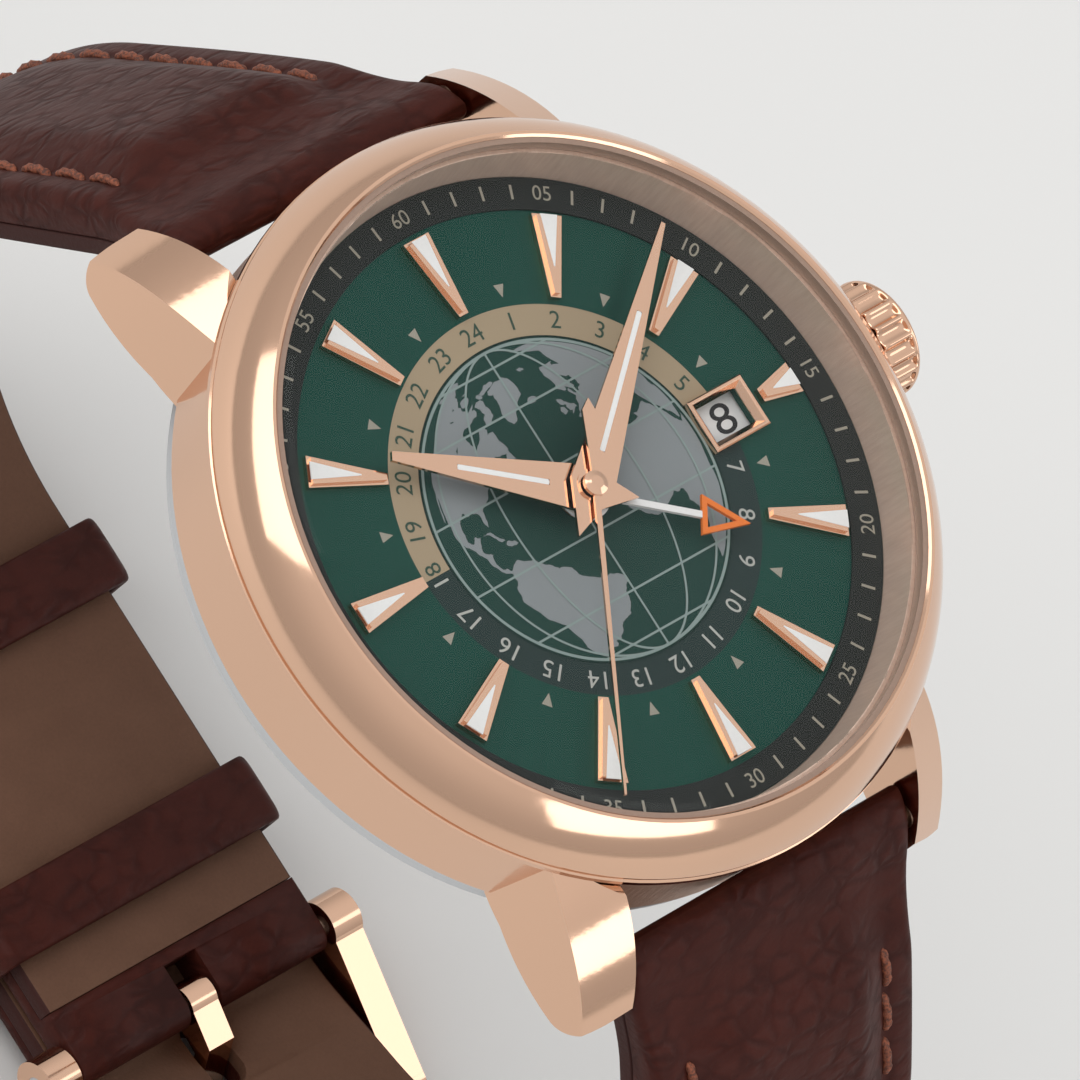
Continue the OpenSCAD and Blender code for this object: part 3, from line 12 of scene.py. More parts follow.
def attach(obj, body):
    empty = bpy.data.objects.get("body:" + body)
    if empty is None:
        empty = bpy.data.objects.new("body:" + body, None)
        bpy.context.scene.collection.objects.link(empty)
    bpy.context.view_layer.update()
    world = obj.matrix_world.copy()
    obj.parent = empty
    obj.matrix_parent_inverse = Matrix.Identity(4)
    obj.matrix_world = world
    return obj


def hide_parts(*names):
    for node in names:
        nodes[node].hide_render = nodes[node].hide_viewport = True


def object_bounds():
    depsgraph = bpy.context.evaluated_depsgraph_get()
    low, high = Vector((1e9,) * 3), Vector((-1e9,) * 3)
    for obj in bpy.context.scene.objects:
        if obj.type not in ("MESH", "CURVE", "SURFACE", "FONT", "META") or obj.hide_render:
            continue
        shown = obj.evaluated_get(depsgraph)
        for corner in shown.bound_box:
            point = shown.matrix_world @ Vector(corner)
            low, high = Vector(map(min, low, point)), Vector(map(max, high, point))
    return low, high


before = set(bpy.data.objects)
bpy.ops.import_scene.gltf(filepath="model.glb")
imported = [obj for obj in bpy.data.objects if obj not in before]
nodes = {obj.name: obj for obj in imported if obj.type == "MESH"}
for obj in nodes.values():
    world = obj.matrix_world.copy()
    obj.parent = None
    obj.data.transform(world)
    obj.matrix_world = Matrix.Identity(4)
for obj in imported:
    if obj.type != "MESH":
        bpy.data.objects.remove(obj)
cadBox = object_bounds()
mm = 0.001

# Levels that the pieces share with the solids
levels = Values(dial=58.6741, bars=53.4741, shortStrap=4.65, stem=56.1741)


def newObject(name, data):
    made = bpy.data.objects.new(name, data)
    bpy.context.scene.collection.objects.link(made)
    return made


# One shader socket whose maths is written as plain expressions
class Flow:
    def __init__(self, tree, socket=None):
        self.tree = tree
        self.socket = socket

    # Any node: its kind, its settings, then the values or links of its sockets
    def add(self, kind, settings=None, sockets=None, out=0):
        node = self.tree.nodes.new(kind)
        for name, value in (settings or {}).items():
            setattr(node, name, value)
        for name, value in (sockets or {}).items():
            if isinstance(value, Flow):
                self.tree.links.new(value.socket, node.inputs[name])
            else:
                node.inputs[name].default_value = value
        return Flow(self.tree, node.outputs[out] if node.outputs else None)

    def maths(self, operation, a, b=0.0):
        return self.add("ShaderNodeMath", {"operation": operation}, {0: a, 1: b})

    def __add__(self, other):
        return self.maths("ADD", self, other)

    __radd__ = __add__

    def __sub__(self, other):
        return self.maths("SUBTRACT", self, other)

    def __mul__(self, other):
        return self.maths("MULTIPLY", self, other)

    def __rsub__(self, other):
        return self.maths("SUBTRACT", other, self)

    def __gt__(self, other):
        return self.maths("GREATER_THAN", self, other)

    def __lt__(self, other):
        return self.maths("LESS_THAN", self, other)


# Smooth step of a value between two edges, as a mask from 0 to 1
def rise(value, low, high):
    return value.add("ShaderNodeMapRange", {"interpolation_type": "SMOOTHSTEP"},
                     {"Value": value, "From Min": low, "From Max": high})


# Colour b over colour a where the mask is 1
def over(a, b, mask):
    return mask.add("ShaderNodeMix", {"data_type": "RGBA"}, {
        0: mask,
        6: a if isinstance(a, Flow) else (*a, 1),
        7: b if isinstance(b, Flow) else (*b, 1),
    }, out=2)


# Object coordinates in millimetres
def placeInMm(flow):
    coordinates = flow.add("ShaderNodeTexCoord", out=3)
    return flow.add("ShaderNodeMapping", {}, {"Vector": coordinates, "Scale": (1 / mm,) * 3})


def noise(vector, scale, detail=3.0, rough=0.5):
    return vector.add("ShaderNodeTexNoise", {}, {
        "Vector": vector, "Scale": scale, "Detail": detail, "Roughness": rough})


def cells(vector, scale, feature="F1"):
    return vector.add("ShaderNodeTexVoronoi", {"feature": feature}, {"Vector": vector, "Scale": scale})


def parts(vector):
    return [vector.add("ShaderNodeSeparateXYZ", {}, {0: vector}, out=i) for i in range(3)]


def asVector(flow, x, y, z=0.0):
    return flow.add("ShaderNodeCombineXYZ", {}, {0: x, 1: y, 2: z})


# Distance from the dial's axis and the angle round it, with the height
def roundAxis(flow):
    x, y, z = parts(placeInMm(flow))
    return flow.maths("SQRT", x * x + y * y), flow.maths("ARCTAN2", y, x), z


def bump(height, depth, strength=1.0, below=None):
    sockets = {"Height": height, "Distance": depth * mm, "Strength": strength}
    if below is not None:
        sockets["Normal"] = below
    return height.add("ShaderNodeBump", {}, sockets)


def metal(colour, rough, normal, metallic=1.0):
    return {"Base Color": colour, "Metallic": metallic, "Roughness": rough, "Normal": normal}


# A new material; make(flow) returns the shader's sockets, values or links
def material(name, make):
    made = bpy.data.materials.new(name)
    made.use_nodes = True
    tree = made.node_tree
    tree.nodes.clear()
    flow = Flow(tree)
    sockets = make(flow)
    shader = flow.add("ShaderNodeBsdfPrincipled", {}, {
        k: (*v, 1) if isinstance(v, tuple) and len(v) == 3 else v for k, v in sockets.items()})
    flow.add("ShaderNodeOutputMaterial", {}, {"Surface": shader})
    return made


cameraView = Values(
    right=(0.7088, -0.535, 0.4597),
    up=(0.3943, 0.8409, 0.3706),
    towards=(-0.5849, -0.0814, 0.807),
    distance=842.0,
    lens=552.2,
    sensor=36,
    shift=(-0.0330, -0.0378),
    nearest=0.01,  # metres
    farthest=20,
)
studio = Values(
    floor=(0.86, 0.86, 0.85),
    floorRough=0.65,
    floorReach=3.0,  # metres from the middle to each edge
    floorDrop=0.0001,
    light=(1, 0.99, 0.98),
    overhead=0.62,  # light of the room from straight above, and from its walls
    walls=0.40,
    seenOverhead=0.9,  # the same room as the camera, metal and glass see it
    seenWalls=0.56,
    # Watts, place and size of each soft lamp, in metres
    lamps={
        "keySoftbox": (3.6, (-0.35, 0.45, 0.62), (0.7, 0.9)),
        "fillSoftbox": (0.7, (0.6, -0.35, 0.4), (0.3, 0.6)),
        "frontSoftbox": (0.8, (-0.05, -0.7, 0.36), (0.5, 0.25)),
    },
)


def placeCamera():
    data = bpy.data.cameras.new("photoCamera")
    data.lens = cameraView.lens
    data.sensor_width = cameraView.sensor
    data.shift_x, data.shift_y = cameraView.shift
    data.clip_start = cameraView.nearest
    data.clip_end = cameraView.farthest
    camera = newObject("photoCamera", data)
    axes = cameraView.right, cameraView.up, cameraView.towards
    right, up, towards = (Vector(axis).normalized() for axis in axes)
    turn = Matrix((right, up, towards)).transposed().to_4x4()
    centre = Vector((0, 0, levels.dial * mm))
    camera.matrix_world = Matrix.Translation(centre + towards * cameraView.distance * mm) @ turn
    bpy.context.scene.camera = camera


# A soft rectangular lamp that looks at the dial
def placeLamp(name, watts, place, size):
    data = bpy.data.lights.new(name, "AREA")
    data.shape = "RECTANGLE"
    data.size, data.size_y = size
    data.energy = watts
    lamp = newObject(name, data)
    target = Vector((0, 0, levels.dial * mm))
    lamp.location = place
    lamp.rotation_euler = (target - Vector(place)).to_track_quat("-Z", "Y").to_euler()


# A plain pale room: its light falls off evenly from the ceiling to the walls
def lightWorld():
    world = bpy.data.worlds.new("paleRoom")
    world.use_nodes = True
    tree = world.node_tree
    tree.nodes.clear()
    flow = Flow(tree)
    seen = [flow.add("ShaderNodeLightPath", out=i) for i in (0, 3, 6)]
    plain = flow.maths("MAXIMUM", flow.maths("MAXIMUM", seen[0], seen[1]), seen[2])
    upwards = rise(parts(flow.add("ShaderNodeTexCoord", out=0))[2], 0.0, 0.95)
    lit = studio.walls + upwards * (studio.overhead - studio.walls)
    shown = studio.seenWalls + upwards * (studio.seenOverhead - studio.seenWalls)
    strength = lit + plain * (shown - lit)
    light = flow.add("ShaderNodeBackground", {}, {"Color": (*studio.light, 1), "Strength": strength})
    flow.add("ShaderNodeOutputWorld", {}, {"Surface": light})
    bpy.context.scene.world = world


def layFloor():
    far = studio.floorReach
    mesh = bpy.data.meshes.new("studioFloor")
    mesh.from_pydata([(-far, -far, 0), (far, -far, 0), (far, far, 0), (-far, far, 0)], [], [(0, 1, 2, 3)])
    floor = newObject("studioFloor", mesh)
    floor.location.z = cadBox[0].z - studio.floorDrop
    mesh.materials.append(material("paleFloor", lambda flow: {
        "Base Color": studio.floor, "Roughness": studio.floorRough}))


placeCamera()
lightWorld()
layFloor()
for name, (watts, place, size) in studio.lamps.items():
    placeLamp(name, watts, place, size)
bpy.context.scene.view_settings.view_transform = "Standard"
print("camera, lamps and floor are in place")

roseGold = Values(
    colour=(0.74, 0.475, 0.335),
    brushed=(0.66, 0.42, 0.30),
    rough=0.08,
    lugsAt=10.24,  # the walls between the lugs are brushed
    wallFrom=16.5,
)


def polishedRose(flow):
    place = placeInMm(flow)
    wear = noise(place, 1.6, 4.0)
    return metal(roseGold.colour, roseGold.rough + wear * 0.04, bump(noise(place, 0.35, 1.0), 0.012))


# Middle case: polished, but brushed up and down on the walls between the lugs
def caseRose(flow):
    place = placeInMm(flow)
    x, y, z = parts(place)
    between = flow.maths("ABSOLUTE", x) < roseGold.lugsAt
    wall = between * (flow.maths("ABSOLUTE", y) > roseGold.wallFrom)
    streak = noise(asVector(flow, x * 3.2, y * 0.2, z * 0.3), 2.0, 4.0, 0.65)
    wear = noise(place, 1.6, 4.0)
    return metal(over(roseGold.colour, roseGold.brushed, wall * streak),
                 roseGold.rough + wear * 0.05 + wall * (0.2 + streak * 0.2),
                 bump(streak * wall + wear * 0.1, 0.05))


# Rose gold brushed upright: fine streaks side by side round the dial's axis
def brushedRose(flow):
    radius, turn, z = roundAxis(flow)
    grain = noise(asVector(flow, radius * 0.5, turn * 60.0, z * 0.4), 1.6, 3.0, 0.6)
    return metal(over((0.76, 0.54, 0.42), (0.97, 0.76, 0.63), grain), 0.28 + grain * 0.14,
                 bump(grain, 0.01), 0.5)


# Steel turned on a lathe: streaks that follow the turn
def satinSteel(flow):
    radius, turn, z = roundAxis(flow)
    grain = noise(asVector(flow, radius * 12.0, turn, z * 12.0), 2.0, 2.0)
    return metal(over((0.50, 0.51, 0.52), (0.66, 0.67, 0.69), grain), 0.24 + grain * 0.12,
                 bump(grain, 0.008))


# Coated sapphire: clear all over but for a faint mirror of the room, a touch stronger in patches
def clearSapphire(flow):
    sheen = noise(placeInMm(flow), 0.04, 1.0)
    return {"Base Color": (0.93, 0.97, 0.98), "Metallic": 1.0, "Roughness": 0.01,
            "Alpha": 0.004 + sheen * 0.008}


# Movement plates: nickel with rows of overlapping pearled rounds
def pearledNickel(flow):
    x, y, z = parts(placeInMm(flow))
    ring = flow.maths("SINE", cells(asVector(flow, x, y), 0.9) * 34.0)
    return metal(over((0.55, 0.53, 0.49), (0.72, 0.70, 0.65), ring * 0.5 + 0.5), 0.24 + ring * 0.05,
                 bump(ring, 0.004))


# Straight stripes across a plate
def stripedSteel(flow):
    x, y, z = parts(placeInMm(flow))
    wave = flow.maths("FRACT", (x + y * 0.35) * 0.55)
    grain = noise(asVector(flow, x * 0.6, y * 9.0, z), 2.0, 2.0)
    return metal(over((0.50, 0.50, 0.50), (0.68, 0.67, 0.66), wave), 0.22 + grain * 0.12,
                 bump(wave, 0.02, 0.6))


# An even finish: one grain of a size and detail shifts the colour (dark, light) and the roughness
# (base, spread) a little, and may press a depth into the surface
def grained(colours, grainSize, rough, depth=0.0, **fixed):
    def make(flow):
        grain = noise(placeInMm(flow), *grainSize)
        sockets = {"Base Color": over(*colours, grain) if len(colours) == 2 else colours[0], **fixed}
        sockets["Roughness"] = rough[0] + grain * rough[1] if len(rough) == 2 else rough[0]
        if depth:
            sockets["Normal"] = bump(grain, depth)
        return sockets
    return make


def lacquer(colour, rough=0.22, shine=0.4):
    dark = tuple(c * 0.94 for c in colour)
    return grained((dark, colour), (5.0, 2.0), (rough, 0.04), **{"Specular IOR Level": shine})


dialColours = Values(
    green=(0.009, 0.050, 0.038),
    greenLight=(0.017, 0.080, 0.061),
    tan=(0.36, 0.285, 0.19),
    slate=(0.020, 0.037, 0.035),
    sea=(0.012, 0.046, 0.037),
    line=(0.006, 0.02, 0.016),
    ringIn=8.95,
    ringOut=10.72,
    lineIn=8.9,
    lineOut=9.0,
)


# Dial: sunray brushed green, the two-tone 24-hour ring and the dark sea of the globe
def dialFace(flow):
    c = dialColours
    x, y, z = parts(placeInMm(flow))
    radius = flow.maths("SQRT", x * x + y * y)
    turn = flow.maths("ARCTAN2", y, x)
    ray = noise(asVector(flow, turn * 26.0, radius * 0.02), 4.0, 3.0, 0.6)
    green = over(c.green, c.greenLight, ray)
    ring = over(c.slate, c.tan, y > 0.0)
    inRing = (radius > c.ringIn) * (radius < c.ringOut)
    sea = over(green, c.sea, radius < c.ringIn)
    edge = (radius > c.lineIn) * (radius < c.lineOut)
    printed = over(over(sea, ring, inRing), c.line, edge)
    onSunray = radius > c.ringOut
    return {
        "Base Color": printed,
        "Metallic": onSunray * 0.55,
        "Roughness": 0.42 - onSunray * 0.08 + ray * 0.1,
        "Specular IOR Level": 0.12,
        "Normal": bump(ray * onSunray, 0.006),
    }


finishes = {
    "rose": material("polishedRoseGold", polishedRose),
    "caseRose": material("caseRoseGold", caseRose),
    "roseBrushed": material("brushedRoseGold", brushedRose),
    "steel": material("satinSteel", satinSteel),
    "sapphire": material("clearSapphire", clearSapphire),
    "nickel": material("pearledNickel", pearledNickel),
    "striped": material("stripedSteel", stripedSteel),
    "brass": material("gildedBrass", grained(
        ((0.72, 0.52, 0.24), (0.84, 0.66, 0.36)), (6.0, 3.0), (0.2, 0.15), 0.003, Metallic=1.0)),
    "blue": material("bluedSteel", grained(
        ((0.02, 0.04, 0.20), (0.05, 0.09, 0.34)), (5.0, 2.0), (0.14, 0.08), Metallic=1.0)),
    "ruby": material("rubyStone", grained(
        ((0.45, 0.01, 0.06), (0.70, 0.03, 0.12)), (3.0, 2.0), (0.06,), **{"Coat Weight": 0.6})),
    "seal": material("blackSeal", grained(((0.02, 0.02, 0.02),), (8.0, 3.0), (0.55, 0.2), 0.01)),
    "grey": material("mouldedGrey", grained(
        ((0.12, 0.12, 0.13), (0.18, 0.18, 0.19)), (8.0, 3.0), (0.5, 0.1), 0.01)),
    "nylon": material("smokyNylon", grained(
        ((0.30, 0.20, 0.15), (0.38, 0.26, 0.20)), (8.0, 2.0), (0.3, 0.1))),
    "white": material("whiteLacquer", lacquer((0.80, 0.80, 0.79))),
    "orange": material("orangeLacquer", lacquer((0.80, 0.19, 0.025))),
    "charcoal": material("charcoalRing", lacquer((0.020, 0.024, 0.023), 0.5, 0.12)),
    "dial": material("sunrayDial", dialFace),
    "lume": material("whiteLume", lacquer((0.86, 0.87, 0.86), 0.4)),
    "ink": material("blackInk", lacquer((0.012, 0.012, 0.014), 0.4)),
    "greenInk": material("darkGreenInk", lacquer((0.02, 0.055, 0.035), 0.45)),
    "paleInk": material("paleInk", lacquer((0.42, 0.43, 0.40), 0.45)),
    "beigeInk": material("beigeInk", lacquer((0.33, 0.315, 0.26), 0.45, 0.2)),
    "land": material("mapLand", lacquer((0.24, 0.265, 0.275), 0.4, 0.15)),
    "net": material("mapNet", lacquer((0.25, 0.32, 0.305), 0.45, 0.15)),
    "seaInk": material("seaInk", lacquer(dialColours.sea, 0.42, 0.12)),
}
# The nodes that wear each finish
wornBy = {
    "rose": "bezel hour_markers hour_hand minute_hand second_hand buckle_frame buckle_tongue",
    "caseRose": "mid_case",
    "roseBrushed": "inner_flange",
    "steel": "case_back crown_tube spring_bar_12 spring_bar_6 buckle_bar winding_stem setting_lever "
             "escape_wheel pallet_fork cannon_pinion rotor_bearing",
    "sapphire": "crystal back_window",
    "nickel": "main_plate barrel_bridge train_bridge pallet_bridge balance_cock",
    "striped": "rotor_weight",
    "brass": "barrel center_wheel third_wheel fourth_wheel balance_wheel minute_wheel hour_wheel "
             "gmt_idler gmt_wheel",
    "blue": "bridge_screws hairspring",
    "ruby": "jewels",
    "seal": "back_gasket crown_gasket",
    "grey": "movement_holder",
    "nylon": "crystal_gasket",
    "white": "date_disc gmt_hand",
    "orange": "gmt_arrow",
    "charcoal": "minute_ring",
    "dial": "dial_plate",
}
for finish, names in wornBy.items():
    for name in names.split():
        nodes[name].data.materials.clear()
        nodes[name].data.materials.append(finishes[finish])
print("finishes are on the rigid pieces")


# A piece from points in millimetres, riding on one of the frame's bodies
def addPiece(name, points, faces, finish, body, smooth=False):
    mesh = bpy.data.meshes.new(name)
    mesh.from_pydata((np.asarray(points, float) * mm).tolist(), [], [tuple(map(int, f)) for f in faces])
    mesh.validate()
    mesh.polygons.foreach_set("use_smooth", np.full(len(mesh.polygons), smooth))
    mesh.materials.append(finishes[finish])
    piece = newObject(name, mesh)
    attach(piece, body)
    return piece


# Joins lists of (points, faces) into one
def joined(shapes):
    points, faces, start = [], [], 0
    for p, f in shapes:
        points.append(np.asarray(p, float))
        faces += [tuple(i + start for i in face) for face in f]
        start += len(p)
    return np.concatenate(points), faces


# Points on a flat pattern (across, up) set at height z
def atHeight(flat, z):
    flat = np.asarray(flat, float)
    return np.column_stack([flat, np.full(len(flat), z)])


# Unit vectors at an angle past 12 o'clock: outwards, and clockwise along the ring
def clockAxes(angle):
    a = math.radians(angle)
    return np.array([math.sin(a), math.cos(a)]), np.array([math.cos(a), -math.sin(a)])


# Flat points on a ray of the dial, each given by its radius and its distance clockwise of the ray
def onRay(angle, spots):
    out, along = clockAxes(angle)
    return [out * radius + along * aside for radius, aside in spots]


# A number's filled outline, its digits one unit tall, centred on zero
def glyph(text, spacing=1.0):
    curve = bpy.data.curves.new("digits", "FONT")
    curve.body = text
    curve.space_character = spacing
    curve.resolution_u = 4
    holder = newObject("digits", curve)
    shape = holder.evaluated_get(bpy.context.evaluated_depsgraph_get()).to_mesh()
    flat = np.array([v.co[:2] for v in shape.vertices])
    faces = [tuple(p.vertices) for p in shape.polygons]
    bpy.data.objects.remove(holder)
    low, high = flat.min(0), flat.max(0)
    return (flat - (low + high) / 2) / (high[1] - low[1]), faces


# A number on a ring: its top points outwards, or inwards where inward is true
def ringNumber(text, radius, angle, height, z, inward=False, shift=0.0):
    flat, faces = glyph(text)
    out, along = clockAxes(angle)
    side = -1 if inward else 1
    placed = (out * radius + np.outer(flat[:, 0] * height + shift, along * side)
              + np.outer(flat[:, 1] * height, out * side))
    return atHeight(placed, z), faces


# A strip of even width along a flat line: each point moves half a width along the line's normal
def ribbon(line, width, z, closed=False):
    line = np.asarray(line, float)
    ahead = np.roll(line, -1, 0) - np.roll(line, 1, 0) if closed else np.gradient(line, axis=0)
    normal = np.column_stack([-ahead[:, 1], ahead[:, 0]]) / np.linalg.norm(ahead, axis=1)[:, None]
    points = np.concatenate([line - normal * width / 2, line + normal * width / 2])
    n = len(line)
    last = n if closed else n - 1
    faces = [(i, (i + 1) % n, n + (i + 1) % n, n + i) for i in range(last)]
    return atHeight(points, z), faces


# A flat outline raised into a low solid between two heights
def raised(outline, low, high):
    n = len(outline)
    points = np.concatenate([atHeight(outline, low), atHeight(outline, high)])
    sides = [(i, (i + 1) % n, n + (i + 1) % n, n + i) for i in range(n)]
    return points, [tuple(range(n, 2 * n)), tuple(range(n - 1, -1, -1)), *sides]


# Joins closed rings of points (rings x points x 3) into a closed skin: a quad from each side of a ring
# to the next ring. The last ring meets the first in a loop, and otherwise both ends are filled
def skinOver(rings, flip=False, loop=False):
    m, n = rings.shape[:2]
    ring, point = np.meshgrid(np.arange(m if loop else m - 1), np.arange(n), indexing="ij")
    here, there, beside = ring * n, (ring + 1) % m * n, (point + 1) % n
    quads = np.stack([here + point, here + beside, there + beside, there + point], -1).reshape(-1, 4)
    ends = [] if loop else [tuple(range(n - 1, -1, -1)), tuple(range((m - 1) * n, m * n))]
    if flip:
        quads, ends = quads[:, ::-1], [end[::-1] for end in ends]
    return rings.reshape(-1, 3), quads.tolist() + ends


dialPrint = Values(
    lift=0.012,  # printed work stands this far off its ground
    ringTop=0.12,
    # Ticks and pointers: from one radius to another, width. Numbers: radius, height
    minuteTick=(16.45, 17.25, 0.15),
    pointer=(11.95, 11.22, 0.62),
    minuteNumber=(16.87, 0.82),
    dayNumber=(9.9, 0.96),
    split=0.4,  # the 1 and the 8 of 18 stand this far either side of the ring's joint
)


# Minute ring: a bar between two radii at each minute, and a number at each fifth
def printMinutes():
    z = levels.dial + dialPrint.ringTop + dialPrint.lift
    low, high, width = dialPrint.minuteTick
    half = width / 2
    bar = [(low, -half), (low, half), (high, half), (high, -half)]
    ticks = [(atHeight(onRay(6 * minute, bar), z), [(0, 1, 2, 3)]) for minute in range(60) if minute % 5]
    radius, height = dialPrint.minuteNumber
    numbers = [ringNumber(f"{m or 60:02d}", radius, 6 * m, height, z, 18 <= m <= 42) for m in range(0, 60, 5)]
    addPiece("minuteTicks", *joined(ticks), "beigeInk", "case")
    addPiece("minuteNumbers", *joined(numbers), "beigeInk", "case")


# 24-hour ring: dark numbers on its pale half, pale ones on the dark half, and outside it a
# triangle that points inwards between each two hours of the dial
def printHours():
    z = levels.dial + dialPrint.lift
    radius, height = dialPrint.dayNumber
    dark = [ringNumber(str(h or 24), radius, 15 * h, height, z) for h in (*range(6), *range(19, 24))]
    dark.append(ringNumber("8", radius, 270, height, z, shift=dialPrint.split))
    pale = [ringNumber(str(h), radius, 15 * h, height, z) for h in range(7, 18)]
    pale.append(ringNumber("1", radius, 270, height, z, shift=-dialPrint.split))
    addPiece("dayNumbersDark", *joined(dark), "greenInk", "case")
    addPiece("dayNumbersPale", *joined(pale), "paleInk", "case")
    base, tip, width = dialPrint.pointer
    spots = [(base, -width / 2), (base, width / 2), (tip, 0)]
    pointers = [(atHeight(onRay(15 + 30 * k, spots), z), [(2, 1, 0)]) for k in range(12)]
    addPiece("hourPointers", *joined(pointers), "beigeInk", "case")


globe = Values(
    radius=8.77,
    land=8.66,
    centre=(-35.0, 26.0),  # longitude and latitude at the middle of the map
    parallels=(-64.3, -38.6, -12.9, 12.9, 38.6, 64.3),
    meridians=(-60, -30, 0, 30, 60),
    lineWidth=0.119,
    rimWidth=1.3,  # times the line's width
    lineLift=0.01,
    lineStep=0.002,  # each line lies this much higher than the last, where they cross
    coastRough=0.75,
    lakeRough=0.3,
    lakeLift=0.006,
)
